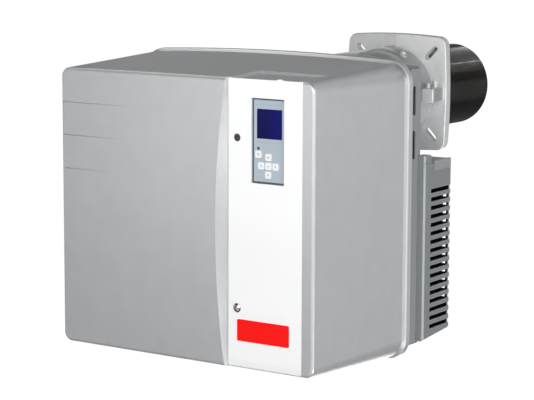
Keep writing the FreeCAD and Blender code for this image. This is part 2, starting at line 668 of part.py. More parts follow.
# ---------------------------------------------------------------- air intake box
bw = box_wall
plan = outline("XY", box_low, [(box_left, tray_back), (tray_right + 0.3, tray_back), (tray_right + 0.3, box_front),
                               (box_side_f, box_front), (box_side_b, box_back), (box_left, box_back)])
solid_box = prism(plan, Z, box_high - box_low)
rise = prism(outline("YZ", box_left - 2, [(box_front - 2, box_low - 5), (box_back + 2, box_low - 5),
                                          (box_back + 2, box_low + 7.2), (box_front - 2, box_low)]), X, 110.0)
solid_box = cut(solid_box, rise)
bl, bb, bs = num(box_low), num(box_back), num(box_side_b)
solid_box = fillet(solid_box, 5.0, lambda e: (
    (along(e, "Z") and ends(e)[0].y > bb - 0.1)
    or (all(abs(p.z - num(box_high)) < 0.01 for p in ends(e)) and not all(abs(p.y - num(tray_back)) < 0.01 for p in ends(e))
        and not all(p.x < num(tray_right) + 0.4 and p.y < num(tray_back) + 0.01 for p in ends(e))
        and not all(abs(p.y - num(box_front)) < 0.01 for p in ends(e)))
    or (all(p.z < bl + 8.5 for p in ends(e)) and ends(e)[0].y > bb - 0.1 and ends(e)[-1].y > bb - 0.1)
    or (all(p.z < bl + 8.5 for p in ends(e)) and min(p.x for p in ends(e)) > bs - 0.1 and max(p.y for p in ends(e)) > bb - 0.1)))
cavity = prism(outline("XY", box_low + 10.0, [(box_left + bw, tray_back - 1), (tray_right - 1, tray_back - 1),
                                              (tray_right + 8.5, tray_back + 2), (box_side_b - bw + 0.6, box_back - bw),
                                              (box_left + bw, box_back - bw)]), Z, box_high - bw - (box_low + 10.0))
cavity = fillet(cavity, 3.5, lambda e: along(e, "Z") and ends(e)[0].y > bb - 3.5)
# the slots run round the rear corner, where a post stands just under the skin
corner_post = prism(outline("XY", box_low + 9.0, [
    (box_side_b - 5.7, box_back - 5.5), (box_side_b - 1.0, box_back - 5.5), (box_side_b - 1.0, box_back - 4.6),
    (box_side_b - 2.2, box_back - 2.1), (box_side_b - 4.6, box_back - 1.0), (box_side_b - 5.7, box_back - 1.0)]),
    Z, box_high - bw + 1 - (box_low + 9.0))
front_round = cut(box(box_side_f - 3.1, box_front - 0.5, box_low - 2, box_side_f + 1, box_front + 3.0, box_high - 3),
                  cyl("Z", box_side_f - 3.1, box_front + 3.0, box_low - 4, 3.0, 300.0))
grille_slots = []
for i in range(17):
    zc = Size(-133.7, "(0 - 133.7)") - slot_pitch * i
    grille_slots.append(box(box_side_b - 6.0, -71.0, zc - slot_open / 2, box_side_f + 6, box_back + 4, zc + slot_open / 2))
    if 0 < i < 14:
        grille_slots.append(box(84.3, box_back - 4.0, zc - slot_open / 2, 92.0, box_back + 4, zc + slot_open / 2))
ear = fillet(box(tray_right + 0.3, box_front, box_high - 6, box_side_f - 0.2, box_front + 18.0, box_high + 11.0), 2.5,
             lambda e: all(p.z > -81.0 for p in ends(e)) and not all(p.x < 89.4 for p in ends(e))
             or (along(e, "Z") and min(p.x for p in ends(e)) > 100.0 and max(p.y for p in ends(e)) < -80.0))
grille = cut(fuse(cut(cut(cut(solid_box, cavity), *grille_slots), front_round), corner_post, ear),
             box(box_side_f - 1.6, box_front - 1.0, box_high - 1.1, box_side_f + 2, box_front + 17.0, box_high - 0.2))
node(grille, "intake_grille")
# rounded latch bar on the upper edge
clip = fillet(prism(outline("XY", box_high - 14.5, [(box_side_b - 3.0, -60.0), (box_side_f - 0.2, -60.0),
                                                    (box_side_b + 1.4, -12.0), (box_side_b - 3.0, -12.0)]), Z, 15.4), 2.2,
              lambda e: max(p.x for p in ends(e)) > 99.0 and min(p.x for p in ends(e)) > 99.0)
clip = cut(clip, solid_box)
clip = cut(clip, box(box_side_b - 1.0, -15.5, box_high - 14.0, 112.0, -11.0, box_high - 11.0))
node(clip, "grille_clip")

# ---------------------------------------------------------------- flange, collar, ring, tube
fh, fb, fc = flange_half, flange_bow, flange_corner
side_r = (fh - fc) * (fh - fc) / (2 * fb) + fb / 2
s1 = fh - fc
e1 = fh
fl = outline("XZ", flange_back - flange_thick, [(-s1, -e1), (s1, -e1), (e1, -s1), (e1, s1), (s1, e1), (-s1, e1), (-e1, s1), (-e1, -s1)],
             {0: (side_r, 1), 1: (fc, 1), 2: (side_r, 1), 3: (fc, 1), 4: (side_r, 1), 5: (fc, 1), 6: (side_r, 1), 7: (fc, 1)})
plate = prism(fl, Y, flange_thick)
plate = fillet(plate, 1.6, lambda e: all(abs(p.y - num(flange_back) + num(flange_thick)) < 0.01 for p in ends(e)))
neck_ring = cyl("Y", 0.0, -44.0, 0.0, 63.0, 42.0)
lug = fillet(prism(outline("XY", -9.6, [(52.0, -41.0), (83.8, -41.0), (80.0, -3.0), (52.0, -3.0)]), Z, 20.1), 1.6,
             lambda e: min(p.x for p in ends(e)) > 79.0 or
             (all(abs(p.y + 41.0) < 0.01 for p in ends(e)) and along(e, "X")))
neck_arm = fillet(prism(outline("XZ", -44.0, [(20.0, 40.0), (-50.0, 3.0), (-92.0, 3.0), (-97.0, 8.0), (-97.0, 46.0),
                                              (-92.0, 52.2), (1.5, 68.4), (14.0, 65.8), (30.0, 56.5)]), Y, 24.0), 0.8,
                  lambda e: all(abs(p.y + 20.0) < 0.01 for p in ends(e)) and max(p.z for p in ends(e)) > 45.0
                  and min(p.z for p in ends(e)) > 45.0)
ang = math.radians(26.0)
screw_dir = V(math.sin(ang), 0, math.cos(ang))
boss_ring = doc.addObject("Part::Cylinder", uname("boss"))
boss_ring.Radius = 7.5
boss_ring.Height = 9.5
boss_ring.Placement = FreeCAD.Placement(screw_dir * 56.0 + V(0, -35.0, 0), FreeCAD.Rotation(V(0, 0, 1), screw_dir))
flange_body = fuse(plate, neck_ring, lug, neck_arm, boss_ring)
slots = []
for ang in (45, 135, 225, 315):
    ca, sa = math.cos(math.radians(ang)), math.sin(math.radians(ang))
    rr = fix_width / 2
    reach = fix_slot / 2 - rr
    core = doc.addObject("Part::Box", uname("box"))
    core.Length, core.Width, core.Height = 2 * num(reach), 20.0, num(fix_width)
    bind(core, "Length", reach * 2)
    bind(core, "Height", fix_width)
    turn = FreeCAD.Rotation(V(0, -1, 0), ang)
    core.Placement = FreeCAD.Placement(V(num(fix_radius) * ca, -9.0, num(fix_radius) * sa)
                                       + turn.multVec(V(-num(reach), 0, -num(rr))), turn)
    tips = [cyl("Y", (fix_radius + reach * du) * ca, -9.0, (fix_radius + reach * du) * sa, rr, 20.0) for du in (-1, 1)]
    slots += [core] + tips
lug_pts = ((70.0, -31.5, 3.9, 7.4), (72.5, -15.5, 4.3, 9.4))
flange_body = cut(flange_body, cyl("Y", 0.0, -60.0, 0.0, collar_inner, 70.0),
                  cyl("Y", 0.0, tube_seat, 0.0, tube_root + 0.05, 20.0), cyl("Y", 0.0, flange_back - 0.8, 0.0, tube_outer + 0.05, 2.0),
                  cyl("Y", -84.0, -46.0, 24.0, 6.05, 30.0), *([cyl("Z", q[0], q[1], 3.0, 2.6, 12.0) for q in lug_pts] + slots))
node(flange_body, "boiler_flange")
lug_screws = [fuse(fillet(cyl("Z", q[0], q[1], 10.5, q[2], q[3]), 1.2, lambda e: all(p.z > 12.0 for p in ends(e))),
                   cyl("Z", q[0], q[1], 3.5, 2.5, 8.0)) for q in lug_pts]

arm = prism(outline("XZ", -56.0, [(0.0, 30.0), (-6.0, 62.6), (-92.0, 51.2), (-97.0, 45.0), (-97.0, 6.0), (-92.0, 1.0), (-50.0, 1.0)]),
            Y, 12.0)
ring_plate = fillet(fuse(cyl("Y", 0.0, -56.0, 0.0, 64.2, 12.0), arm), 1.1,
                    lambda e: all(abs(p.y + 56.0) < 0.01 for p in ends(e)))
ring_plate = cut(ring_plate, cyl("Y", 0.0, -58.0, 0.0, collar_inner, 16.0), cyl("Y", -84.0, -58.0, 24.0, 6.05, 16.0))
node(ring_plate, "mounting_ring")
node(fuse(cyl("Y", -84.0, -62.0, 24.0, 6.0, 51.0), hexagon("Y", -84.0, -20.0, 24.0, 19.0, 8.0),
          cyl("Y", -84.0, -84.0, 24.0, 10.0, 28.0)), "hinge_bolt")
# screw on the collar, pointing to the axis
screw = doc.addObject("Part::Cylinder", uname("cyl"))
screw.Radius = 4.4
screw.Height = 9.0
screw.Placement = FreeCAD.Placement(screw_dir * 60.5 + V(0, -35.0, 0), FreeCAD.Rotation(V(0, 0, 1), screw_dir))
screw_sock = doc.addObject("Part::Prism", uname("hex"))
screw_sock.Polygon = 6
screw_sock.Circumradius = 2.3
screw_sock.Height = 6.0
screw_sock.Placement = FreeCAD.Placement(screw_dir * 66.5 + V(0, -35.0, 0), FreeCAD.Rotation(V(0, 0, 1), screw_dir))
node(group(cut(screw, screw_sock, flange_body), *lug_screws), "flange_screws")

tube = cut(fuse(cyl("Y", 0.0, tube_seat, 0.0, tube_root, flange_back - tube_seat + 0.5),
                cyl("Y", 0.0, flange_back, 0.0, tube_outer, tube_end - flange_back)),
           cyl("Y", 0.0, tube_seat - 1, 0.0, tube_inner, tube_end - tube_seat + 2))
lip_ring = cut(cyl("Y", 0.0, tube_end - 14.0, 0.0, tube_inner + 0.2, 2.0), cyl("Y", 0.0, tube_end - 16.0, 0.0, 50.0, 6.0))
node(fuse(tube, lip_ring), "blast_tube")

# ---------------------------------------------------------------- fan housing
def scroll_outline(at, off):
    a, b, c = scroll_a - off, scroll_b - off, scroll_c - off
    step = scroll_b - scroll_a
    step2 = scroll_c - scroll_b
    oy2, oz2 = fan_y, fan_z + step
    oy3, oz3 = fan_y + step2, fan_z + step
    out_y = Size(-88.0, "(0 - 88)")
    top = oz3 + c
    pts = [(fan_y + a, fan_z), (out_y + off * 1.0, Size(-62.0, "(0 - 62)") + off), (out_y + off * 1.0, top), (oy3, top),
           (oy3 - c, oz3), (fan_y, fan_z - a)]
    pts = [(fan_y + a, fan_z), (fan_y + a, Size(-62.0, "(0 - 62)") + off), (out_y + off * 1.0, Size(-62.0, "(0 - 62)") + off),
           (out_y + off * 1.0, top), (oy3, top), (oy3 - c, oz3), (fan_y, fan_z - a)]
    return outline("YZ", at, pts, {4: (c, 1), 5: (b, 1), 6: (a, 1)})


sh, sw = scroll_half, scroll_wall
scroll = prism(scroll_outline(-sh, zero), X, sh * 2)
scroll_in = prism(scroll_outline(-sh - 1, sw), X, sh * 2 + 1 - sw)
end_plate = cyl("Y", 0.0, -92.0, 0.0, 65.0, 4.0)
neck = fuse(cyl("Y", 0.0, -90.0, 0.0, 59.0, 34.0), cyl("Y", 0.0, -57.0, 0.0, 57.2, 27.0))
boss = cyl("Y", 0.0, -311.0, 0.0, 34.0, 60.0)
boss = cut(boss, scroll_in)
housing = fuse(scroll, end_plate, neck)
housing = cut(housing, scroll_in)
housing = cut(fuse(housing, boss), cyl("Y", 0.0, -100.0, 0.0, 53.5, 80.0),
              cyl("X", sh - 8, fan_y, fan_z, 56.0, 12.0), cyl("Y", 0.0, -312.0, 0.0, 29.0, 76.0),
              box(-sh - 30, -104.0, 43.5, sh + 30, -87.9, 70.0))
spokes = []
for k in range(3):
    sp = doc.addObject("Part::Box", uname("spoke"))
    sp.Length, sp.Width, sp.Height = 5.0, 9.0, 47.5
    rot = FreeCAD.Rotation(Y, 120.0 * k)
    sp.Placement = FreeCAD.Placement(V(0, -44.5, 0) + rot.multVec(V(-2.5, 0, 8.0)), rot)
    spokes.append(sp)
guide = cut(fuse(cyl("Y", 0.0, -46.0, 0.0, 11.0, 12.0), *spokes), cyl("Y", 0.0, -48.0, 0.0, rod_radius + 0.05, 16.0))
crown_plate = common(cyl("Y", 0.0, -91.8, 0.0, 59.0, 5.8), box(-60.0, -92.0, 43.2, 60.0, -80.0, 60.0))
housing = fuse(housing, guide, crown_plate)
node(housing, "burner_housing")
motor_plate = cut(prism(scroll_outline(-sh - 4, zero), X, 4.0), cyl("X", -sh - 6, fan_y, fan_z, 9.0, 8.0),
                  box(-60.0, -92.0, -80.0, -20.0, -80.0, 60.0))
node(motor_plate, "motor_plate")
bolt_pts = ((-250.0, -30.0), (-305.0, -110.0), (-262.0, -168.0), (-150.0, -180.0), (-150.0, 20.0), (-112.0, -110.0))
plate_bolts = group(*[fuse(hexagon("X", -sh - 9.0, by, bz, 10.0, 5.0), cyl("X", -sh - 10.2, by, bz, 3.0, 1.3))
                      for by, bz in bolt_pts])

# service lid in front of the nozzle line
lid = cut(cyl("Y", 0.0, -315.0, 0.0, 34.0, 4.0), cyl("Y", 0.0, -316.0, 0.0, 4.1, 6.0),
          cyl("Y", -12.0, -316.0, 22.0, 3.6, 6.0), cyl("Y", 12.0, -316.0, 22.0, 3.6, 6.0),
          cyl("Y", -17.0, -316.0, -14.0, 6.05, 6.0))
node(lid, "service_lid")
lid_screws = []
for k in range(3):
    a = math.radians(-10.0 - 80.0 * k)
    lid_screws.append(cyl("Y", 31.0 * math.cos(a), -317.6, 31.0 * math.sin(a), 2.4, 2.6))
node(group(plate_bolts, tray_screw_set, *lid_screws), "housing_screws")

# ---------------------------------------------------------------- fan, motor, pump
hub = cut(fuse(cyl("X", -30.0, fan_y, fan_z, 14.0, 34.0), cyl("X", -30.0, fan_y, fan_z, wheel_radius, 1.6),
               cut(cyl("X", 24.4, fan_y, fan_z, wheel_radius, 1.6), cyl("X", 23.0, fan_y, fan_z, 60.0, 4.0))),
          cyl("X", -32.0, fan_y, fan_z, shaft_radius + 0.02, 60.0))
blades = []
for k in range(30):
    b = doc.addObject("Part::Box", uname("blade"))
    b.Length, b.Width, b.Height = 54.6, 1.2, 15.5
    rot = FreeCAD.Rotation(X, 12.0 * k)
    lean = FreeCAD.Rotation(X, 28.0)
    off = rot.multVec(V(0, 0, 59.2))
    b.Placement = FreeCAD.Placement(V(-29.0, num(fan_y), num(fan_z)) + off, rot.multiply(lean))
    blades.append(b)
node(common(fuse(hub, *blades), cyl("X", -31.0, fan_y, fan_z, wheel_radius, 60.0)), "fan_wheel")
shaft = fuse(cyl("X", -206.0, fan_y, fan_z, shaft_radius, 212.0), cyl("X", -150.0, fan_y, fan_z, 27.0, 62.0))
node(shaft, "motor_rotor")
mr = motor_radius
mbody = fuse(cyl("X", motor_end, fan_y, fan_z, mr, -42.0 - motor_end), cyl("X", -50.0, fan_y, fan_z, mr + 6, 8.0))
ribs = []
for k in range(26):
    rb = doc.addObject("Part::Box", uname("rib"))
    rb.Length, rb.Width, rb.Height = 112.0, 2.2, 6.0
    rot = FreeCAD.Rotation(X, 360.0 / 26 * k)
    rb.Placement = FreeCAD.Placement(V(-166.0, num(fan_y), num(fan_z)) + rot.multVec(V(0, -1.1, num(mr) - 1.0)), rot)
    ribs.append(rb)
mbody = cut(fuse(mbody, *ribs), cyl("X", motor_end + 6, fan_y, fan_z, mr - 4, 122.0),
            cyl("X", motor_end - 2, fan_y, fan_z, 14.05, 160.0))
node(mbody, "motor_housing")
node(cut(cyl("X", -146.0, fan_y, fan_z, mr - 4.0, 54.0), cyl("X", -148.0, fan_y, fan_z, 27.6, 60.0)), "motor_stator")
node(group(*[cut(cyl("X", bx, fan_y, fan_z, 14.0, 6.0), cyl("X", bx - 1, fan_y, fan_z, shaft_radius + 0.02, 8.0))
             for bx in (num(motor_end), -50.0)]), "motor_bearings")
node(fuse(cyl("X", -162.0, fan_y, -190.0, 16.5, 78.0), cyl("X", -84.5, fan_y, -190.0, 8.0, 6.0),
          box(-140.0, num(fan_y) - 5.0, -176.0, -110.0, num(fan_y) + 5.0, -169.1)), "motor_capacitor")
coupling = fuse(cyl("X", -222.0, fan_y, fan_z, 15.0, 20.0))
coupling = cut(coupling, cyl("X", -213.0, fan_y, fan_z, shaft_radius + 0.02, 14.0),
               cyl("X", -224.0, fan_y, fan_z, 4.02, 11.0))
node(coupling, "shaft_coupling")
node(cyl("X", -240.0, fan_y, fan_z, 4.0, 26.0), "pump_shaft")
brk = fuse(cut(cyl("X", motor_end - 4, fan_y, fan_z, 40.0, 4.0), cyl("X", motor_end - 6, fan_y, fan_z, 13.0, 8.0)),
           cut(cyl("X", -232.0, fan_y, fan_z, 40.0, 4.0), cyl("X", -234.0, fan_y, fan_z, 16.1, 8.0)))
arms = []
for k in range(3):
    a = math.radians(90 + 120 * k)
    arms.append(cyl("X", -231.0, fan_y + 34.0 * math.cos(a), fan_z + 34.0 * math.sin(a), 4.5, 52.0))
node(fuse(brk, *arms), "pump_bracket")
fy, fz = num(fan_y), num(fan_z)
pump = fuse(fillet(box(-292.0, fy - 34.0, fz - 34.0, -232.0, fy + 34.0, fz + 34.0), 5.0, lambda e: along(e, "X")),
            cyl("X", -233.0, fy, fz, 16.0, 7.0), cyl("X", -300.0, fy, fz, 24.0, 9.0),
            hexagon("Z", -248.0, fy + 18.0, fz + 33.0, 14.0, 9.0), hexagon("Y", -282.0, fy - 42.0, fz - 12.0, 13.0, 9.0))
pump = cut(pump, cyl("X", -241.0, fy, fz, 4.03, 20.0), cyl("Y", oil_x[0], fy + 24.0, fz - 22.0, 5.05, 14.0),
           cyl("Y", -284.0, fy + 24.0, fz - 22.0, 5.05, 14.0))
node(pump, "oil_pump")
valve = fuse(cyl("Z", -270.0, fy - 10.0, fz + 34.0, 16.0, 30.0), hexagon("Z", -270.0, fy - 10.0, fz + 64.0, 12.0, 5.0),
             box(-283.0, fy - 34.0, fz + 38.0, -257.0, fy - 20.0, fz + 60.0))
node(valve, "solenoid_valve")
# suction and return pipes to the tray
p1 = pipe([(-265.0, fy + 30.0, fz - 22.0), (-265.0, fy + 62.0, fz - 22.0), (-265.0, fy + 62.0, oil_z), (-265.0, -66.0, oil_z)], 5.0, 18.0)
p2 = pipe([(-284.0, fy + 30.0, fz - 22.0), (-284.0, fy + 78.0, fz - 22.0), (-292.0, fy + 78.0, oil_z), (-292.0, -66.0, oil_z)], 5.0, 18.0)
nips = []
for ox in oil_x:
    nips.append(cut(hexagon("Y", ox, tray_back, oil_z, 19.0, 9.0), cyl("Y", ox, tray_back - 1, oil_z, 5.0, 14.0)))
node(group(p1, p2, *nips), "oil_supply_pipes")

# ---------------------------------------------------------------- nozzle line
spindle = fuse(cyl("Y", 0.0, -326.0, 0.0, 4.0, 57.0), cyl("Y", 0.0, -326.5, 0.0, 9.0, 5.0),
               hexagon("Y", 0.0, -329.5, 0.0, 9.0, 3.2))
node(spindle, "adjusting_spindle")
rod = fuse(cyl("Y", 0.0, -296.0, 0.0, rod_radius, 396.0), cyl("Y", 0.0, 84.0, 0.0, 10.0, 18.0))
rod = cut(rod, cyl("Y", 0.0, -297.0, 0.0, 4.1, 62.0))
node(rod, "nozzle_rod")
node(fuse(hexagon("Y", 0.0, 102.0, 0.0, 16.0, 8.0), cone("Y", 0.0, 110.0, 0.0, 7.5, 3.0, 7.0)), "oil_nozzle")
disc = cut(cyl("Y", 0.0, 119.0, 0.0, 43.0, 1.5), cyl("Y", 0.0, 118.0, 0.0, 10.5, 4.0))
fins = []
for k in range(8):
    f = doc.addObject("Part::Box", uname("slit"))
    f.Length, f.Width, f.Height = 1.8, 6.0, 19.0
    rot = FreeCAD.Rotation(Y, 45.0 * k)
    f.Placement = FreeCAD.Placement(V(0, 117.0, 0) + rot.multVec(V(-0.9, 0, 16.0)), rot)
    fins.append(f)
legs = []
for k in range(3):
    a = math.radians(90 + 120 * k)
    lg = doc.addObject("Part::Box", uname("leg"))
    lg.Length, lg.Width, lg.Height = 9.0, 36.0, 1.5
    rot = FreeCAD.Rotation(Y, 120.0 * k + 60.0)
    lg.Placement = FreeCAD.Placement(V(0, 84.0, 0) + rot.multVec(V(-4.5, 0, 17.0)), rot)
    legs.append(lg)
spider = cut(cyl("Y", 0.0, 84.0, 0.0, 18.5, 5.0), cyl("Y", 0.0, 82.0, 0.0, 10.0, 9.0))
node(fuse(cut(disc, *fins), spider, *legs), "turbulator_disc")
els, ins = [], []
for sx in (-1, 1):
    els.append(pipe([(sx * 11.0, 88.0, 22.0), (sx * 11.0, 104.0, 22.0), (sx * 3.5, 115.6, 8.5)], 1.1, 6.0))
    ins.append(cyl("Y", sx * 11.0, 20.0, 22.0, 4.4, 70.0))
# two rods in ceramic sleeves, held by a clamp on the nozzle rod
node(group(*[cut(e, i) for e, i in zip(els, ins)]), "ignition_electrodes")
node(group(*ins), "electrode_insulators")
node(group(*[cyl("Y", sx * 11.0, -292.0, 22.0, 3.0, 312.0) for sx in (-1, 1)]), "electrode_leads")
clamp = cut(fuse(cyl("Y", 0.0, 40.0, 0.0, 10.0, 10.0), box(-17.0, 40.0, 4.0, 17.0, 50.0, 28.0)),
            cyl("Y", 0.0, 38.0, 0.0, rod_radius, 14.0), *[cyl("Y", sx * 11.0, 38.0, 22.0, 4.4, 14.0) for sx in (-1, 1)])
node(clamp, "electrode_clamp")
union = cut(fuse(cyl("Y", 0.0, -321.3, 0.0, 9.0, 6.3), cyl("X", -16.0, -318.2, 0.0, 2.8, 10.0)),
            cyl("Y", 0.0, -323.0, 0.0, 4.1, 10.0))
press = pipe([(-16.0, -318.2, 0.0), (-52.0, -318.2, 0.0), (-52.0, -318.2, 34.0), (-230.0, -318.2, 34.0), (-262.0, -290.0, 20.0),
              (-262.0, -262.0, -95.0), (-262.0, fy - 34.0, -95.0)], 3.0, 12.0)
node(group(press, union), "pressure_pipe")
node(fuse(cyl("Y", -17.0, -326.0, -14.0, 6.0, 22.0), cyl("Y", -17.0, -328.0, -14.0, 4.2, 3.0),
          cyl("Y", -17.0, -318.0, -14.0, 8.0, 3.0)), "flame_sensor")

# ---------------------------------------------------------------- ignition, controls, duct
trafo = fillet(box(-178.0, -322.0, -36.0, -92.0, -262.0, 22.0), 4.0, lambda e: along(e, "Y"))
node(fuse(trafo, cyl("X", -93.0, -300.0, 12.0, 6.0, 9.0), cyl("X", -93.0, -280.0, 12.0, 6.0, 9.0)), "ignition_transformer")
leads = [pipe([(-12.0, -296.0, 22.0), (-12.0, -326.5, 22.0), (-66.0, -326.5, 22.0), (-70.0, -300.0, 12.0), (-84.0, -300.0, 12.0)], 3.5, 4.6),
         pipe([(12.0, -296.0, 22.0), (12.0, -325.5, 22.0), (12.0, -325.5, 31.5), (-58.0, -325.5, 31.5), (-64.0, -280.0, 12.0), (-84.0, -280.0, 12.0)], 3.5, 4.6)]
node(group(*leads), "ignition_leads")
node(fuse(fillet(box(-28.0, -341.0, -343.0, 74.0, -300.0, -228.0), 3.0, lambda e: along(e, "Y")),
          box(-18.0, -343.0, -330.0, 64.0, -341.0, -250.0), cyl("Y", 52.0, -344.5, -240.0, 5.0, 4.0)), "control_box")

dw = duct_wall
low_box = box(duct_left, duct_front, duct_low, duct_right, tray_back - 2.5 - 0.0, duct_high)
side_box = box(sh, -292.0, duct_high - 5, duct_right, -112.0, -40.0)
low_in = box(duct_left + dw, duct_front + dw, duct_low + dw, duct_right - dw, tray_back + 4, duct_high - dw)
side_in = box(sh + 0.0 - 4, -289.0, duct_high - 12, duct_right - dw, -115.0, -43.0)
duct = cut(fuse(low_box, side_box), low_in, side_in, cyl("X", duct_left - 4, flap_y, flap_z, 4.05, 8.0),
           cyl("X", duct_right - 6, flap_y, flap_z, 4.05, 8.0), box(-60.0, tray_back - 2.5, -400.0, 90.0, 10.0, 0.0),
           box(sh - 10, -400.0, duct_high, sh + 0.0, 0.0, 0.0))
duct = cut(duct, prism(scroll_outline(-sh, zero), X, sh * 2))
node(duct, "air_duct")
flap = fuse(box(duct_left + dw + 1.5, flap_y - 1.0, flap_z - 56.0, duct_right - dw - 1.5, flap_y + 1.0, flap_z + 56.0))
flap = fuse(flap, cyl("X", duct_left + dw + 1.5, flap_y, flap_z, 6.5, duct_right - duct_left - 2 * dw - 3.0))
node(cut(flap, cyl("X", -60.0, flap_y, flap_z, 4.0, 160.0)), "damper_flap")
node(cyl("X", duct_left - 20, flap_y, flap_z, 4.0, duct_right - duct_left + 20.0), "damper_shaft")
servo = cut(fillet(box(-92.0, -222.0, -318.0, duct_left, -158.0, -250.0), 4.0, lambda e: along(e, "X")),
            cyl("X", duct_left - 22, flap_y, flap_z, 4.3, 40.0))
node(servo, "damper_servo")

# posts that take the cover fasteners, and the display bracket
post_u = cut(cyl("Y", lock_x, panel_face + 6.6, lock_up_z, 5.0, 60.0), cyl("Y", lock_x, panel_face + 5, lock_up_z, 3.06, 12.0),
             scroll, box(-80.0, -300.0, -60.0, 0.0, -200.0, 0.0), prism(scroll_outline(-sh - 4, zero), X, 5.0))
post_l = cut(cyl("Y", lock_x, panel_face + 6.6, lock_low_z, 5.0, 45.4), cyl("Y", lock_x, panel_face + 5, lock_low_z, 3.06, 12.0))
node(group(post_u, post_l), "cover_posts")
bracket = cut(fuse(box(-19.0, -331.0, -106.0, 38.0, -329.0, -46.0), cyl("Y", -10.0, -330.0, -84.0, 5.0, 20.0),
                   cyl("Y", 28.0, -330.0, -84.0, 5.0, 20.0)), scroll)
shelf = fuse(box(-176.0, -299.5, -38.0, -42.0, -266.0, -36.0), box(-44.0, -299.5, -62.0, -42.0, -266.0, -37.0))
node(group(bracket, shelf), "mounting_brackets")

# ---------------------------------------------------------------- check and write
doc.recompute()
bad = []
for o in doc.Objects:
    if "Invalid" in o.State or "Error" in o.State:
        bad.append((o.Name, o.Label, o.State))
if bad:
    raise RuntimeError("failed objects: %s" % bad)
os.makedirs("parts", exist_ok=True)
for label, obj in NODES:
    s = obj.Shape
    if s.isNull() or not s.isValid() or not s.Solids:
        raise RuntimeError("bad shape: " + label)
labels = [n[0] for n in NODES]
if len(set(labels)) != len(labels) or len(labels) > 60:
    raise RuntimeError("labels: %d" % len(labels))
for old in os.listdir("parts"):
    if old.endswith(".step") and old[:-5] not in labels:
        os.remove(os.path.join("parts", old))
for label, obj in NODES:
    s = obj.Shape.copy()
    s.translate(V(0, -num(flange_back), 0))
    s.exportStep(os.path.join("parts", label + ".step"))
    b = s.BoundBox
    print("%-22s solids %d vol %.0f  X %.1f %.1f Y %.1f %.1f Z %.1f %.1f" % (
        label, len(obj.Shape.Solids), obj.Shape.Volume, b.XMin, b.XMax, b.YMin, b.YMax, b.ZMin, b.ZMax))
print("nodes", len(NODES))
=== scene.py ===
import bpy
import bmesh
import json
import math
from mathutils import Matrix, Vector


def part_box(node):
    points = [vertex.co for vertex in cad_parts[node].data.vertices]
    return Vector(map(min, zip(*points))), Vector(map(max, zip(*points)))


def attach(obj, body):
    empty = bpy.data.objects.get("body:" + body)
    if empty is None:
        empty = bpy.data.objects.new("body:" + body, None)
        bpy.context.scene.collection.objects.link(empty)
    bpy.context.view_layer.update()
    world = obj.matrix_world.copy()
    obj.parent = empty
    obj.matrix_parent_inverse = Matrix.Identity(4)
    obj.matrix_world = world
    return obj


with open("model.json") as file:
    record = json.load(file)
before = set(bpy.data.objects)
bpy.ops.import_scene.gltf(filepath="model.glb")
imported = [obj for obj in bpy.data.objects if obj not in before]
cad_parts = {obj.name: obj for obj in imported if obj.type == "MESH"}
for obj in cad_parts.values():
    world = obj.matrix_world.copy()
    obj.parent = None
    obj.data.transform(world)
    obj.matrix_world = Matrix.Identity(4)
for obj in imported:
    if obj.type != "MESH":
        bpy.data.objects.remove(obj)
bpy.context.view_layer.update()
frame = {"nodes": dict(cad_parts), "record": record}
NODES = frame["nodes"]
FRAME_W, FRAME_H = 534, 400


# ------------------------------------------------------------------ camera
def add_camera():
    a, e, roll = 0.6101378, 0.1468148, 0.0031133
    back = Vector((math.sin(a) * math.cos(e), -math.cos(a) * math.cos(e), math.sin(e)))
    right = Vector((math.cos(a), math.sin(a), 0.0))
    up = back.cross(right)
    r2 = right * math.cos(roll) + up * math.sin(roll)
    u2 = up * math.cos(roll) - right * math.sin(roll)
    cam = bpy.data.cameras.new("camera")
    ob = bpy.data.objects.new("camera", cam)
    m = Matrix((r2, u2, back)).transposed().to_4x4()
    m.translation = Vector((1.549399, -2.560144, 0.276768))
    ob.matrix_world = m
    cam.sensor_fit = "HORIZONTAL"
    cam.sensor_width = 36.0
    cam.lens = 2017.457 * 36.0 / FRAME_W
    cam.clip_start = 0.05
    cam.clip_end = 60.0
    bpy.context.scene.collection.objects.link(ob)
    bpy.context.scene.camera = ob


add_camera()


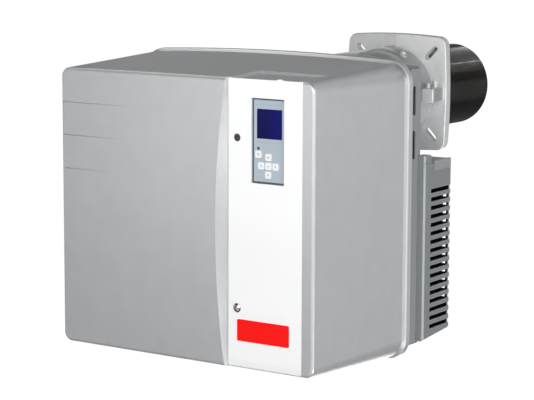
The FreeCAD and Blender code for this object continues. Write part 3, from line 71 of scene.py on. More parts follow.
# ------------------------------------------------------------------ material kit
class Mat:
    """Small builder around one Principled material in object coordinates (metres)."""

    def __init__(self, name):
        self.m = bpy.data.materials.new(name)
        self.m.use_nodes = True
        self.nt = self.m.node_tree
        self.nt.nodes.clear()
        self.out = self.new("ShaderNodeOutputMaterial")
        self.bsdf = self.new("ShaderNodeBsdfPrincipled")
        self.link(self.bsdf.outputs["BSDF"], self.out.inputs["Surface"])
        self.coord = self.new("ShaderNodeTexCoord").outputs["Object"]

    def new(self, kind, **props):
        n = self.nt.nodes.new(kind)
        for k, v in props.items():
            setattr(n, k, v)
        return n

    def link(self, a, b):
        self.nt.links.new(a, b)

    def set(self, **kw):
        for k, v in kw.items():
            s = self.bsdf.inputs[k.replace("_", " ")]
            s.default_value = v if not isinstance(v, tuple) or len(v) == 4 else (*v, 1.0)
        return self

    def mapped(self, scale=(1, 1, 1), rot=(0, 0, 0), loc=(0, 0, 0)):
        n = self.new("ShaderNodeMapping")
        n.inputs["Scale"].default_value = scale
        n.inputs["Rotation"].default_value = rot
        n.inputs["Location"].default_value = loc
        self.link(self.coord, n.inputs["Vector"])
        return n.outputs["Vector"]

    def noise(self, scale, detail=4.0, rough=0.55, vec=None, distortion=0.0):
        n = self.new("ShaderNodeTexNoise")
        n.inputs["Scale"].default_value = scale
        n.inputs["Detail"].default_value = detail
        n.inputs["Roughness"].default_value = rough
        n.inputs["Distortion"].default_value = distortion
        self.link(vec or self.coord, n.inputs["Vector"])
        return n.outputs["Fac"]

    def voronoi(self, scale, feature="F1", vec=None):
        n = self.new("ShaderNodeTexVoronoi", feature=feature)
        n.inputs["Scale"].default_value = scale
        self.link(vec or self.coord, n.inputs["Vector"])
        return n.outputs["Distance"]

    def wave(self, scale, distortion=1.0, detail=2.0, axis="X", vec=None, kind="BANDS"):
        n = self.new("ShaderNodeTexWave", wave_type=kind)
        if kind == "BANDS":
            n.bands_direction = axis
        else:
            n.rings_direction = axis
        n.inputs["Scale"].default_value = scale
        n.inputs["Distortion"].default_value = distortion
        n.inputs["Detail"].default_value = detail
        self.link(vec or self.coord, n.inputs["Vector"])
        return n.outputs["Fac"]

    def ramp(self, fac, stops):
        n = self.new("ShaderNodeValToRGB")
        els = n.color_ramp.elements
        while len(els) > 1:
            els.remove(els[-1])
        els[0].position, els[0].color = stops[0][0], (*stops[0][1], 1.0)
        for p, c in stops[1:]:
            el = els.new(p)
            el.color = (*c, 1.0)
        self.link(fac, n.inputs["Fac"])
        return n.outputs["Color"]

    def remap(self, fac, a, b, lo=0.0, hi=1.0):
        n = self.new("ShaderNodeMapRange")
        n.inputs["From Min"].default_value = lo
        n.inputs["From Max"].default_value = hi
        n.inputs["To Min"].default_value = a
        n.inputs["To Max"].default_value = b
        self.link(fac, n.inputs["Value"])
        return n.outputs["Result"]

    def mix(self, fac, a, b, blend="MIX"):
        n = self.new("ShaderNodeMix", data_type="RGBA", blend_type=blend)
        for src, i in ((a, 6), (b, 7)):
            if isinstance(src, tuple):
                n.inputs[i].default_value = (*src, 1.0) if len(src) == 3 else src
            else:
                self.link(src, n.inputs[i])
        if isinstance(fac, (int, float)):
            n.inputs[0].default_value = fac
        else:
            self.link(fac, n.inputs[0])
        return n.outputs[2]

    def math(self, op, a, b=None, clamp=False):
        n = self.new("ShaderNodeMath", operation=op, use_clamp=clamp)
        for src, i in ((a, 0), (b, 1)):
            if src is None:
                continue
            if isinstance(src, (int, float)):
                n.inputs[i].default_value = src
            else:
                self.link(src, n.inputs[i])
        return n.outputs[0]

    def bump(self, height, distance, strength=1.0, after=None):
        n = self.new("ShaderNodeBump")
        n.inputs["Distance"].default_value = distance
        n.inputs["Strength"].default_value = strength
        self.link(height, n.inputs["Height"])
        if after is not None:
            self.link(after, n.inputs["Normal"])
        return n.outputs["Normal"]

    def axis(self, k):
        n = self.new("ShaderNodeSeparateXYZ")
        self.link(self.coord, n.inputs["Vector"])
        return n.outputs[k]

    def normal_axis(self, k):
        g = self.new("ShaderNodeNewGeometry")
        n = self.new("ShaderNodeSeparateXYZ")
        self.link(g.outputs["Normal"], n.inputs["Vector"])
        return n.outputs[k]

    def edges(self, radius=0.0015, samples=4):
        """1 near edges, 0 on open faces."""
        g = self.new("ShaderNodeNewGeometry")
        b = self.new("ShaderNodeBevel", samples=samples)
        b.inputs["Radius"].default_value = radius
        d = self.new("ShaderNodeVectorMath", operation="DOT_PRODUCT")
        self.link(g.outputs["Normal"], d.inputs[0])
        self.link(b.outputs["Normal"], d.inputs[1])
        return self.remap(d.outputs["Value"], 1.0, 0.0, 0.86, 0.995)

    def inside(self, lo, hi, soft=0.0008):
        """1 inside a box of object coordinates, 0 outside, with a short ramp at its sides."""
        f = None
        for k in range(3):
            v = self.axis(k)
            for g in (self.remap(v, 0.0, 1.0, lo[k], lo[k] + soft), self.remap(v, 1.0, 0.0, hi[k] - soft, hi[k])):
                f = g if f is None else self.math("MULTIPLY", f, g)
        return f

    def tint(self, mask, col):
        """Lays another colour over the base colour where mask is 1."""
        s = self.bsdf.inputs["Base Color"]
        old = s.links[0].from_socket
        self.base(self.mix(mask, old, col))
        return self

    def soft_edge(self, radius, samples=4):
        b = self.new("ShaderNodeBevel", samples=samples)
        b.inputs["Radius"].default_value = radius
        return b.outputs["Normal"]

    def base(self, socket):
        self.link(socket, self.bsdf.inputs["Base Color"])
        return self

    def rough(self, socket):
        self.link(socket, self.bsdf.inputs["Roughness"])
        return self

    def normal(self, socket):
        self.link(socket, self.bsdf.inputs["Normal"])
        return self


KIT = {}


def shade(c, k):
    return tuple(min(1.0, max(0.0, x * k)) for x in c)


def moulded(name, col, rough=0.45, grain=1500.0, depth=0.00006, vary=0.05, spec=0.5, coat=0.0, dirt=0.0, edge=0.0, painted_edge_highlight=0.0):
    """Injection-moulded plastic: fine spark-eroded grain, faint flow marks."""
    m = Mat(name)
    big = m.noise(7.0, 3.0, 0.5)
    mid = m.noise(60.0, 4.0, 0.6)
    tone = m.math("ADD", m.remap(big, -vary, vary), m.remap(mid, -vary * 0.5, vary * 0.5))
    f = m.math("ADD", tone, 0.5, clamp=True)
    c = m.ramp(f, [(0.0, shade(col, 0.78)), (0.5, col), (1.0, shade(col, 1.22))])
    if dirt > 0:
        d = m.remap(m.noise(18.0, 6.0, 0.65), 0.0, dirt, 0.52, 0.75)
        c = m.mix(d, c, shade(col, 0.45))
    # painted highlight: convex edges lightened, broken up by noise
    if painted_edge_highlight > 0:
        e = m.math("MULTIPLY", m.edges(0.0022), m.remap(m.noise(90.0, 4.0, 0.6), 0.7, 1.0, 0.3, 0.6))
        c = m.mix(m.math("MULTIPLY", e, painted_edge_highlight), c, shade(col, 2.6))
    m.base(c)
    fine = m.noise(grain, 2.0, 0.6)
    cell = m.voronoi(grain * 0.7)
    h = m.math("ADD", fine, m.math("MULTIPLY", cell, 0.6))
    m.normal(m.bump(h, depth, 0.9, after=m.soft_edge(edge) if edge else None))
    m.rough(m.remap(mid, rough - 0.05, rough + 0.06))
    m.set(Specular_IOR_Level=spec, Coat_Weight=coat, Coat_Roughness=0.12)
    KIT[name] = m
    return m.m


def cast(name, col, rough=0.5, metallic=0.75, grain=900.0, depth=0.00035, wear=0.5, edge=0.0):
    """Pressure-cast alloy: orange-peel skin, darker pores, brighter worn edges."""
    m = Mat(name)
    big = m.noise(9.0, 4.0, 0.55)
    mid = m.noise(140.0, 5.0, 0.6)
    tone = m.math("ADD", m.math("MULTIPLY", big, 0.55), m.math("MULTIPLY", mid, 0.45))
    c = m.ramp(tone, [(0.25, shade(col, 0.80)), (0.5, col), (0.78, shade(col, 1.12))])
    pores = m.remap(m.voronoi(520.0), 1.0, 0.0, 0.0, 0.18)
    c = m.mix(m.math("MULTIPLY", pores, 0.35), c, shade(col, 0.45))
    if wear > 0:
        e = m.math("MULTIPLY", m.edges(0.0016), m.remap(m.noise(70.0, 5.0, 0.7), 0.2, 1.0, 0.3, 0.6), clamp=True)
        c = m.mix(m.math("MULTIPLY", e, wear), c, shade(col, 1.32))
    m.base(c)
    h = m.math("ADD", m.noise(grain, 4.0, 0.6), m.math("MULTIPLY", m.noise(grain * 0.25, 3.0, 0.5), 0.9))
    m.normal(m.bump(h, depth, 0.6, after=m.soft_edge(edge) if edge else None))
    m.rough(m.remap(mid, rough - 0.09, rough + 0.1))
    m.set(Metallic=metallic)
    KIT[name] = m
    return m.m


def steel(name, col, rough=0.28, along=(1, 1, 1), depth=0.00004, metallic=1.0, vary=0.15, aniso=0.0):
    """Brushed or ground steel. along gives the stretch of the scratches."""
    m = Mat(name)
    vec = m.mapped(scale=along)
    lines = m.noise(420.0, 5.0, 0.7, vec=vec)
    big = m.noise(22.0, 4.0, 0.6)
    tone = m.math("ADD", m.math("MULTIPLY", lines, 0.5), m.math("MULTIPLY", big, 0.5))
    c = m.ramp(tone, [(0.3, shade(col, 1 - vary)), (0.5, col), (0.72, shade(col, 1 + vary))])
    m.base(c)
    m.rough(m.remap(tone, rough - 0.07, rough + 0.1, 0.3, 0.7))
    m.normal(m.bump(lines, depth, 0.5))
    m.set(Metallic=metallic, Anisotropic=aniso)
    return m.m


def painted(name, col, rough=0.38, wear_col=(0.45, 0.44, 0.42), wear=0.5, peel=0.00012):
    """Sprayed enamel over metal with orange peel and chipped edges."""
    m = Mat(name)
    big = m.noise(14.0, 4.0, 0.55)
    c = m.ramp(big, [(0.3, shade(col, 0.85)), (0.5, col), (0.75, shade(col, 1.25))])
    e = m.math("MULTIPLY", m.edges(0.0011), m.remap(m.noise(160.0, 6.0, 0.75), 0.0, 1.0, 0.47, 0.58), clamp=True)
    e = m.math("MULTIPLY", e, wear)
    m.base(m.mix(e, c, wear_col))
    m.rough(m.remap(m.noise(45.0, 4.0, 0.6), rough - 0.06, rough + 0.08))
    m.normal(m.bump(m.noise(650.0, 3.0, 0.5), peel, 0.5))
    m.set(Specular_IOR_Level=0.5)
    return m.m


def give(mat, *nodes):
    for n in nodes:
        ob = NODES[n]
        if not ob.material_slots:
            ob.data.materials.append(mat)
        for s in ob.material_slots:
            s.material = mat


# ------------------------------------------------------------------ materials
def cover_material():
    m = Mat("silver_grey_moulding")
    col = (0.592, 0.603, 0.613)
    big = m.noise(3.2, 2.0, 0.5)
    mid = m.noise(38.0, 3.0, 0.55)
    flake = m.voronoi(2600.0)
    tone = m.math("ADD", m.math("MULTIPLY", big, 0.55), m.math("MULTIPLY", mid, 0.45))
    c = m.ramp(tone, [(0.3, shade(col, 0.955)), (0.5, col), (0.7, shade(col, 1.04))])
    c = m.mix(m.remap(flake, 0.10, 0.0, 0.0, 0.35), c, (0.80, 0.81, 0.83))
    # painted shade: darkens surfaces that face right, forward and slightly up, along the cover's front-right edge
    painted_shade_corner = m.math("MULTIPLY", m.remap(m.normal_axis(0), 0.0, 1.0, 0.25, 0.45), m.remap(m.normal_axis(1), 1.0, 0.0, -0.5, -0.3))
    painted_shade_corner = m.math("MULTIPLY", painted_shade_corner, m.remap(m.normal_axis(2), 0.0, 0.85, 0.12, 0.35))
    c = m.mix(painted_shade_corner, c, (0.24, 0.25, 0.26))
    # painted highlight: a lighter band round the lip, from Y -0.1312 to -0.1260
    painted_highlight_crest = m.math("MULTIPLY", m.remap(m.axis(1), 0.0, 0.85, -0.1312, -0.1296), m.remap(m.axis(1), 1.0, 0.0, -0.1276, -0.1260))
    m.base(m.mix(painted_highlight_crest, c, (0.80, 0.81, 0.82)))
    h = m.math("ADD", m.noise(1700.0, 2.0, 0.6), m.math("MULTIPLY", m.voronoi(1200.0), 0.5))
    m.normal(m.bump(h, 0.00005, 0.8))
    m.rough(m.remap(mid, 0.29, 0.35))
    m.set(Metallic=0.5, Specular_IOR_Level=0.5)
    return m.m


def panel_material():
    m = Mat("gloss_white_panel")
    col = (0.928, 0.932, 0.932)
    big = m.noise(6.0, 3.0, 0.5)
    c = m.ramp(big, [(0.3, shade(col, 0.985)), (0.7, shade(col, 1.01))])
    smear = m.remap(m.noise(26.0, 6.0, 0.7, vec=m.mapped(scale=(1, 1, 0.35))), 0.0, 0.04, 0.5, 0.8)
    m.base(m.mix(smear, c, (0.80, 0.81, 0.82)))
    m.rough(m.remap(m.noise(80.0, 4.0, 0.6), 0.20, 0.30))
    m.normal(m.bump(m.noise(220.0, 2.0, 0.5), 0.00002, 0.5))
    m.set(Specular_IOR_Level=0.45, Coat_Weight=0.35, Coat_Roughness=0.08)
    return m.m


def tube_material():
    """Heat-resisting steel tube, dark from the mill and drawn round its circumference."""
    m = Mat("dark_heat_steel")
    vec = m.mapped(scale=(0.35, 6.0, 0.35))
    rings = m.noise(60.0, 3.0, 0.5, vec=vec)
    blotch = m.noise(16.0, 5.0, 0.6)
    tone = m.math("ADD", m.math("MULTIPLY", rings, 0.25), m.math("MULTIPLY", blotch, 0.75))
    c = m.ramp(tone, [(0.3, (0.016, 0.015, 0.014)), (0.5, (0.032, 0.029, 0.027)), (0.72, (0.062, 0.056, 0.050))])
    # painted highlight: a dashed light line along the tube at a fixed angle round its axis
    turn = m.math("ARCTAN2", m.axis(2), m.axis(0))
    painted_highlight_line = m.math("ABSOLUTE", m.math("SUBTRACT", turn, 0.662))
    painted_highlight_line = m.math("MULTIPLY", m.remap(painted_highlight_line, 1.0, 0.0, 0.006, 0.020), m.remap(m.noise(70.0, 3.0, 0.6), 0.15, 1.0, 0.36, 0.56))
    m.base(m.mix(painted_highlight_line, c, (0.42, 0.39, 0.36)))
    m.rough(m.remap(tone, 0.15, 0.27, 0.3, 0.7))
    m.normal(m.bump(rings, 0.00003, 0.30))
    m.set(Metallic=0.85, Specular_IOR_Level=0.5)
    return m.m


MATS = {
    "cover_grey": cover_material(),
    "panel_white": panel_material(),
    "badge_red": moulded("badge_red", (0.95, 0.007, 0.005), rough=0.5, grain=900.0, depth=0.00002, vary=0.03, spec=0.16),
    "lock_dark": moulded("lock_dark", (0.045, 0.047, 0.05), rough=0.4, vary=0.1),
    "lock_chrome": steel("lock_chrome", (0.62, 0.61, 0.60), rough=0.16, along=(1, 1, 1)),
    "bezel_slate": moulded("bezel_slate", (0.075, 0.095, 0.12), rough=0.42, vary=0.06),
    "face_blue_grey": moulded("face_blue_grey", (0.42, 0.485, 0.54), rough=0.36, grain=2200.0, depth=0.00002, vary=0.03),
    "key_white": moulded("key_white", (0.86, 0.87, 0.88), rough=0.36, grain=2600.0, depth=0.00002, vary=0.02),
    "module_black": moulded("module_black", (0.02, 0.02, 0.022), rough=0.5),
    "tray_grey": moulded("tray_grey", (0.240, 0.255, 0.265), rough=0.5, grain=1100.0, depth=0.00010, vary=0.06, edge=0.0009),
    "socket_black": moulded("socket_black", (0.012, 0.012, 0.013), rough=0.45),
    # grille_grey carries a painted highlight along its edges
    "grille_grey": moulded("grille_grey", (0.198, 0.212, 0.220), rough=0.42, grain=1100.0, depth=0.00008, vary=0.06, edge=0.0008, painted_edge_highlight=0.5),
    "clip_grey": moulded("clip_grey", (0.262, 0.277, 0.287), rough=0.42, edge=0.0006),
    "cast_light": cast("cast_light", (0.56, 0.565, 0.57), rough=0.46, metallic=0.45, depth=0.00022, wear=0.25, edge=0.001),
    "cast_housing": cast("cast_housing", (0.47, 0.475, 0.48), rough=0.5, metallic=0.7, depth=0.0004, wear=0.5),
    "screw_zinc": steel("screw_zinc", (0.60, 0.60, 0.59), rough=0.46, metallic=0.55, depth=0.00008),
    "tube_dark": tube_material(),
    "plate_steel": painted("plate_steel", (0.025, 0.026, 0.028)),
    "wheel_steel": steel("wheel_steel", (0.55, 0.56, 0.57), rough=0.34),
    "shaft_steel": steel("shaft_steel", (0.52, 0.52, 0.52), rough=0.2, along=(6, 1, 1)),
    "motor_paint": painted("motor_paint", (0.020, 0.022, 0.025), rough=0.42, wear=0.35),
    "stator_iron": cast("stator_iron", (0.16, 0.15, 0.14), rough=0.6, metallic=0.6),
    "cap_grey": moulded("cap_grey", (0.58, 0.59, 0.60), rough=0.4),
    "rubber_black": moulded("rubber_black", (0.018, 0.018, 0.018), rough=0.62, grain=700.0, depth=0.0001, vary=0.12),
    "pump_alloy": cast("pump_alloy", (0.50, 0.50, 0.49), rough=0.42, metallic=0.85, depth=0.0003, wear=0.5),
    "coil_black": moulded("coil_black", (0.02, 0.02, 0.024), rough=0.38, coat=0.2),
    "pipe_copper": steel("pipe_copper", (0.72, 0.33, 0.18), rough=0.26, along=(1, 1, 1), vary=0.2),
    "brass": steel("brass", (0.66, 0.47, 0.19), rough=0.25, along=(1, 5, 1), vary=0.12),
    "disc_steel": steel("disc_steel", (0.34, 0.31, 0.28), rough=0.36, vary=0.3),
    "ceramic_white": moulded("ceramic_white", (0.82, 0.79, 0.73), rough=0.22, grain=500.0, depth=0.00002, vary=0.04, coat=0.5),
    "sensor_black": moulded("sensor_black", (0.02, 0.02, 0.022), rough=0.4),
    "trafo_black": moulded("trafo_black", (0.018, 0.018, 0.02), rough=0.36, grain=600.0, depth=0.00008, coat=0.15),
    "lead_black": moulded("lead_black", (0.014, 0.014, 0.014), rough=0.48, grain=900.0),
    "control_blue": moulded("control_blue", (0.028, 0.055, 0.15), rough=0.42),
    "duct_black": moulded("duct_black", (0.024, 0.024, 0.026), rough=0.55, grain=800.0, depth=0.00014, vary=0.1),
    "flap_zinc": steel("flap_zinc", (0.55, 0.55, 0.54), rough=0.32),
    "servo_grey": moulded("servo_grey", (0.05, 0.052, 0.055), rough=0.45),
    "bracket_zinc": steel("bracket_zinc", (0.56, 0.55, 0.50), rough=0.3, vary=0.2),
    "board_green": moulded("board_green", (0.01, 0.09, 0.04), rough=0.35, coat=0.3),
}


def screen_material():
    m = Mat("screen_blue")
    z = m.axis(2)
    g = m.remap(z, 0.0, 1.0, -0.0387, 0.0016)
    low = m.ramp(g, [(0.0, (0.004, 0.005, 0.068)), (1.0, (0.006, 0.007, 0.085))])
    across = m.remap(m.axis(0), 0.0, 1.0, 0.004, 0.030)
    c = m.mix(across, low, (0.007, 0.007, 0.150))
    grid = m.math("MULTIPLY", m.wave(520.0, 0.0, 0.0, "X"), m.wave(520.0, 0.0, 0.0, "Z"))
    m.base(m.mix(m.math("MULTIPLY", grid, 0.14), c, (0.012, 0.014, 0.19)))
    m.rough(m.remap(m.noise(60.0, 3.0), 0.30, 0.38))
    m.normal(m.bump(m.noise(900.0, 2.0), 0.00001, 0.3))
    m.set(Specular_IOR_Level=0.08)
    return m.m


MATS["screen_blue"] = screen_material()
# painted shade: near-black colour inside the rear housing and the intake box; a painted highlight on the intake box's
# front edge; a grey lamp on the board; and painted shade on the neck
lo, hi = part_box("rear_housing")
# painted shade: the inside of the rear housing is coloured near-black
KIT["tray_grey"].tint(KIT["tray_grey"].inside([v + 0.0016 if k != 1 else v - 0.01 for k, v in enumerate(lo)],
                                              [v - (0.0016 if k != 1 else 0.0030) for k, v in enumerate(hi)]), (0.008, 0.008, 0.009))
# painted shade: the inside of the intake box is coloured near-black
KIT["grille_grey"].tint(KIT["grille_grey"].inside((0.0020, -0.0932, -0.3620), (0.0960, -0.0160, -0.0960)), (0.006, 0.006, 0.007))
lo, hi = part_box("intake_grille")
# painted highlight: a lighter band along the intake box's front vertical edge
KIT["grille_grey"].tint(KIT["grille_grey"].inside((hi[0] - 0.0030, lo[1] - 0.002, lo[2]), (hi[0] + 0.002, lo[1] + 0.0026, hi[2])), (0.36, 0.375, 0.385))
KIT["board_green"].tint(KIT["board_green"].inside((-0.012, -0.3600, -0.0560), (-0.003, -0.3460, -0.0480)), (0.075, 0.078, 0.080))


def neck_painted_shade():
    m = KIT["cast_light"]
    y = m.axis(1)
    r = m.math("SQRT", m.math("ADD", m.math("MULTIPLY", m.axis(0), m.axis(0)), m.math("MULTIPLY", m.axis(2), m.axis(2))))
    near = m.remap(r, 1.0, 0.0, 0.0655, 0.0670)
    behind = m.remap(y, 1.0, 0.0, -0.0130, -0.0118)
    mask = m.math("MULTIPLY", m.math("MULTIPLY", near, behind), 0.72)
    # painted shade: the neck between the flange plate and the cover is darkened
    m.tint(mask, (0.27, 0.275, 0.28))
    # painted shade: a darker patch above the neck, behind the top of the cover
    m.tint(m.math("MULTIPLY", m.inside((-0.100, -0.0400, 0.0450), (0.0, -0.0118, 0.0900)), 0.6), (0.20, 0.205, 0.21))


def lug_side_painted_shade():
    """Painted shade: the lug's right face is darkened."""
    m = KIT["cast_light"]
    side = m.remap(m.normal_axis(0), 0.0, 1.0, 0.6, 0.9)
    m.tint(m.math("MULTIPLY", side, m.inside((0.070, -0.0440, -0.0120), (0.0860, -0.0130, 0.0125))), (0.33, 0.335, 0.34))


neck_painted_shade()
lug_side_painted_shade()
SLOT_OF = {s["node"]: s["material_slot"] for s in frame["record"]["subparts"]}
for node, slot_name in SLOT_OF.items():
    give(MATS[slot_name], node)


# ------------------------------------------------------------------ small printed and moulded details
KEY_Y, FACE_Y = -0.3549, -0.3540


def plate_piece(name, polys, y, thick, body, mat, soften=0.00004):
    """Flat pieces in the X-Z plane, raised by thick in front of y, with softened front edges."""
    bm = bmesh.new()
    for poly in polys:
        back = [bm.verts.new((x, y + 0.00004, z)) for x, z in poly]
        f = bm.faces.new(back)
        ext = bmesh.ops.extrude_face_region(bm, geom=[f])
        front = [v for v in ext["geom"] if isinstance(v, bmesh.types.BMVert)]
        bmesh.ops.translate(bm, verts=front, vec=(0.0, -thick - 0.00004, 0.0))
    bmesh.ops.recalc_face_normals(bm, faces=bm.faces[:])
    rim = [e for e in bm.edges if all(abs(v.co.y - (y - thick)) < 1e-7 for v in e.verts)]
    if soften > 0:
        bmesh.ops.bevel(bm, geom=rim, offset=soften, segments=2, affect="EDGES", profile=0.6)
    me = bpy.data.meshes.new(name)
    bm.to_mesh(me)
    bm.free()
    me.materials.append(mat)
    ob = bpy.data.objects.new(name, me)
    bpy.context.scene.collection.objects.link(ob)
    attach(ob, body)
    return ob


def turned(pts, angle, cx, cz):
    c, q = math.cos(angle), math.sin(angle)
    return [(cx + x * c - z * q, cz + x * q + z * c) for x, z in pts]


def arrow(cx, cz, angle, size=0.0013):
    return turned([(-size * 1.15, -size * 0.75), (size * 1.15, -size * 0.75), (0.0, size * 1.05)], angle, cx, cz)


def ring_poly(cx, cz, r0, r1, n=28, start=0.0, sweep=2 * math.pi):
    """Ring as quads, so that each polygon stays simple."""
    out = []
    for k in range(n):
        a0, a1 = start + sweep * k / n, start + sweep * (k + 1) / n
        out.append([(cx + r0 * math.cos(a0), cz + r0 * math.sin(a0)), (cx + r1 * math.cos(a0), cz + r1 * math.sin(a0)),
                    (cx + r1 * math.cos(a1), cz + r1 * math.sin(a1)), (cx + r0 * math.cos(a1), cz + r0 * math.sin(a1))])
    return out


def add_display_details():
    ink = moulded("print_grey", (0.20, 0.235, 0.27), rough=0.5, grain=2600.0, depth=0.000008, vary=0.08)
    line = moulded("print_line", (0.335, 0.40, 0.455), rough=0.42, grain=2600.0, depth=0.000008, vary=0.05)
    dark = moulded("led_bezel", (0.045, 0.048, 0.052), rough=0.35, grain=2200.0, depth=0.00001, vary=0.08)
    t = 0.00008
    plate_piece("mark_up", [arrow(0.0095, -0.0634, 0.0)], KEY_Y, t, "key_up", ink, 0.0)
    plate_piece("mark_down", [arrow(0.0091, -0.0873, math.pi)], KEY_Y, t, "key_down", ink, 0.0)
    plate_piece("mark_left", [arrow(-0.0026, -0.0754, math.pi / 2)], KEY_Y, t, "key_left", ink, 0.0)
    plate_piece("mark_right", [arrow(0.0212, -0.0754, -math.pi / 2)], KEY_Y, t, "key_right", ink, 0.0)
    cx, cz = 0.0093, -0.0754
    plate_piece("mark_enter", [[(cx + 0.0014, cz + 0.0015), (cx + 0.0019, cz + 0.0015), (cx + 0.0019, cz - 0.0006), (cx + 0.0014, cz - 0.0006)],
                               [(cx - 0.0010, cz - 0.0001), (cx + 0.00139, cz - 0.0001), (cx + 0.00139, cz - 0.0006), (cx - 0.0010, cz - 0.0006)],
                               [(cx - 0.0021, cz - 0.00035), (cx - 0.00101, cz + 0.0006), (cx - 0.00101, cz - 0.0013)]], KEY_Y, t, "key_enter", ink, 0.0)
    cx, cz = -0.0072, -0.0601
    plate_piece("mark_menu", [[(cx - 0.0018, cz + k), (cx + 0.0018, cz + k), (cx + 0.0018, cz + k - 0.00045), (cx - 0.0018, cz + k - 0.00045)]
                              for k in (0.0014, 0.00022, -0.00096)], KEY_Y, t, "key_menu", ink, 0.0)
    plate_piece("display_line_upper", [[(-0.0118, 0.0076), (0.0331, 0.0076), (0.0331, 0.0069), (-0.0118, 0.0069)]], FACE_Y, 0.00005, "burner", line, 0.0)
    plate_piece("display_line_lower", [[(-0.0118, -0.0432), (0.0331, -0.0432), (0.0331, -0.0439), (-0.0118, -0.0439)]], FACE_Y, 0.00005, "burner", line, 0.0)
    plate_piece("led_ring", ring_poly(-0.0073, -0.0520, 0.00162, 0.0021), FACE_Y, 0.00018, "burner", dark, 0.0)


add_display_details()


# ------------------------------------------------------------------ stage and light
CENTRE = Vector((-0.13, -0.18, -0.14))


def unseen(ob, *kinds):
    """Keeps a stage object out of the named kinds of ray, so that it gives the object no light and no shadow."""
    for k in kinds:
        setattr(ob, "visible_" + k, False)


def stage_material():
    """Pale studio paper, lit evenly."""
    m = Mat("stage_white")
    e = m.new("ShaderNodeEmission")
    m.link(m.ramp(m.noise(0.8, 2.0), [(0.3, (0.995, 0.995, 0.995)), (0.7, (1.0, 1.0, 1.0))]), e.inputs["Color"])
    e.inputs["Strength"].default_value = 1.02
    m.nt.nodes.remove(m.bsdf)
    m.link(e.outputs[0], m.out.inputs["Surface"])
    return m.m


def add_stage(z=-0.60, radius=14.0):
    """Floor that runs up into a round backdrop."""
    mat = stage_material()
    bm = bmesh.new()
    bmesh.ops.create_circle(bm, cap_ends=True, segments=96, radius=radius)
    bmesh.ops.translate(bm, verts=bm.verts[:], vec=(0, 0, z))
    me = bpy.data.meshes.new("floor")
    bm.to_mesh(me)
    bm.free()
    me.materials.append(mat)
    floor = bpy.data.objects.new("floor", me)
    bm = bmesh.new()
    bmesh.ops.create_icosphere(bm, subdivisions=4, radius=radius)
    me = bpy.data.meshes.new("backdrop")
    bm.to_mesh(me)
    bm.free()
    me.materials.append(mat)
    dome = bpy.data.objects.new("backdrop", me)
    for ob in (floor, dome):
        bpy.context.scene.collection.objects.link(ob)
        unseen(ob, "diffuse", "glossy", "transmission", "volume_scatter", "shadow")


def add_world(low, mid, high, strength):
    w = bpy.data.worlds.new("studio")
    bpy.context.scene.world = w
    w.use_nodes = True
    nt = w.node_tree
    nt.nodes.clear()
    out = nt.nodes.new("ShaderNodeOutputWorld")
    bg = nt.nodes.new("ShaderNodeBackground")
    tc = nt.nodes.new("ShaderNodeTexCoord")
    sep = nt.nodes.new("ShaderNodeSeparateXYZ")
    ramp = nt.nodes.new("ShaderNodeValToRGB")
    nt.links.new(tc.outputs["Generated"], sep.inputs["Vector"])
    mr = nt.nodes.new("ShaderNodeMapRange")
    mr.inputs["From Min"].default_value = -1.0
    mr.inputs["From Max"].default_value = 1.0
    nt.links.new(sep.outputs["Z"], mr.inputs["Value"])
    nt.links.new(mr.outputs["Result"], ramp.inputs["Fac"])
    els = ramp.color_ramp.elements
    els[0].position, els[0].color = 0.0, (low, low, low, 1)
    els[1].position, els[1].color = 1.0, (high, high, high, 1)
    el = els.new(0.5)
    el.color = (mid, mid, mid, 1)
    nt.links.new(ramp.outputs["Color"], bg.inputs["Color"])
    bg.inputs["Strength"].default_value = strength
    nt.links.new(bg.outputs["Background"], out.inputs["Surface"])


def soft_light(name, azimuth, elevation, power, size=1.3, size_y=None, dist=3.0, aim=None):
    """Soft box seen from the object at azimuth degrees from -Y towards +X."""
    a, e = math.radians(azimuth), math.radians(elevation)
    d = Vector((math.sin(a) * math.cos(e), -math.cos(a) * math.cos(e), math.sin(e)))
    li = bpy.data.lights.new(name, "AREA")
    li.shape = "RECTANGLE"
    li.size = size
    li.size_y = size_y or size
    li.energy = power
    ob = bpy.data.objects.new(name, li)
    ob.location = (aim or CENTRE) + d * dist
    ob.rotation_euler = (-d).to_track_quat("-Z", "Y").to_euler()
    ob.visible_camera = False
    bpy.context.scene.collection.objects.link(ob)
    return ob


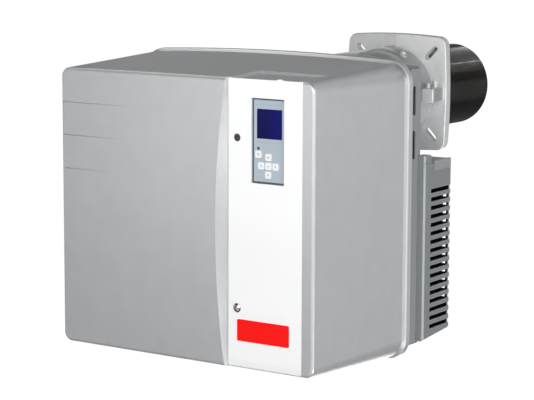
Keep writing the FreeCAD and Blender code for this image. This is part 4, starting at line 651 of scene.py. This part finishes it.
# name, azimuth, elevation, power, width, height
LIGHTS = (
    ("left_low", -62, 4, 3.6, 1.2, 1.8),
    ("left_side", -104, 8, 9.0, 2.0, 2.0),
    ("front_mirror", -28, 2, 4.9, 0.7, 1.2),
    ("front_left", -18, 4, 1.6, 0.7, 1.2),
    ("front", 4, 4, 8.5, 0.9, 1.4),
    ("camera_high", 35, 26, 69.0, 3.4, 2.2),
    ("camera_mid", 35, 10, 21.0, 3.2, 2.4),
    ("right_front", 90, 8, 12.8, 0.7, 2.2),
    ("side_mirror", 146, -6, 1.45, 1.0, 1.4),
    ("side_wide", 125, 6, 2.5, 1.0, 1.4),
    ("rear", 180, 12, 18.0, 1.6, 1.6),
    ("rear_left", -146, 10, 0.9, 1.2, 1.0),
    ("lip_left", -76, 52, 1.6, 0.5, 0.5),
    ("lip_rear", -119, 49, 5.0, 1.0, 0.9),
    ("front_low", 0, -34, 6.4, 1.8, 1.2),
    ("right_low", 80, -34, 40.0, 1.8, 1.2),
)
add_stage()
add_world(0.13, 0.09, 0.07, 1.0)
for name, az, el, power, sx, sy in LIGHTS:
    soft_light(name, az, el, power, sx, sy)
# strip light that only the tube catches
glint = soft_light("tube_strip", 153, 25, 0.8, 0.04, 0.5, aim=Vector((0.0, 0.08, 0.0)))
glint.data.color = (1.0, 0.92, 0.80)
only_tube = bpy.data.collections.new("tube_only")
only_tube.objects.link(NODES["blast_tube"])
glint.light_linking.receiver_collection = only_tube
# light for the back, kept off the tube
back = soft_light("back_low", 205, -24, 30.0, 2.0, 1.5)
no_tube = bpy.data.collections.new("all_but_tube")
for node, ob in NODES.items():
    if node != "blast_tube":
        no_tube.objects.link(ob)
back.light_linking.receiver_collection = no_tube
# fill in front of the flange, which the cover would otherwise hold in its own shade
fill = soft_light("flange_fill", 8, -46, 2.2, 0.25, 0.25, dist=0.34, aim=Vector((0.06, 0.0, -0.04)))
fill.data.use_shadow = False
only_flange = bpy.data.collections.new("flange_only")
only_flange.objects.link(NODES["boiler_flange"])
fill.light_linking.receiver_collection = only_flange
bpy.context.scene.view_settings.view_transform = "Standard"
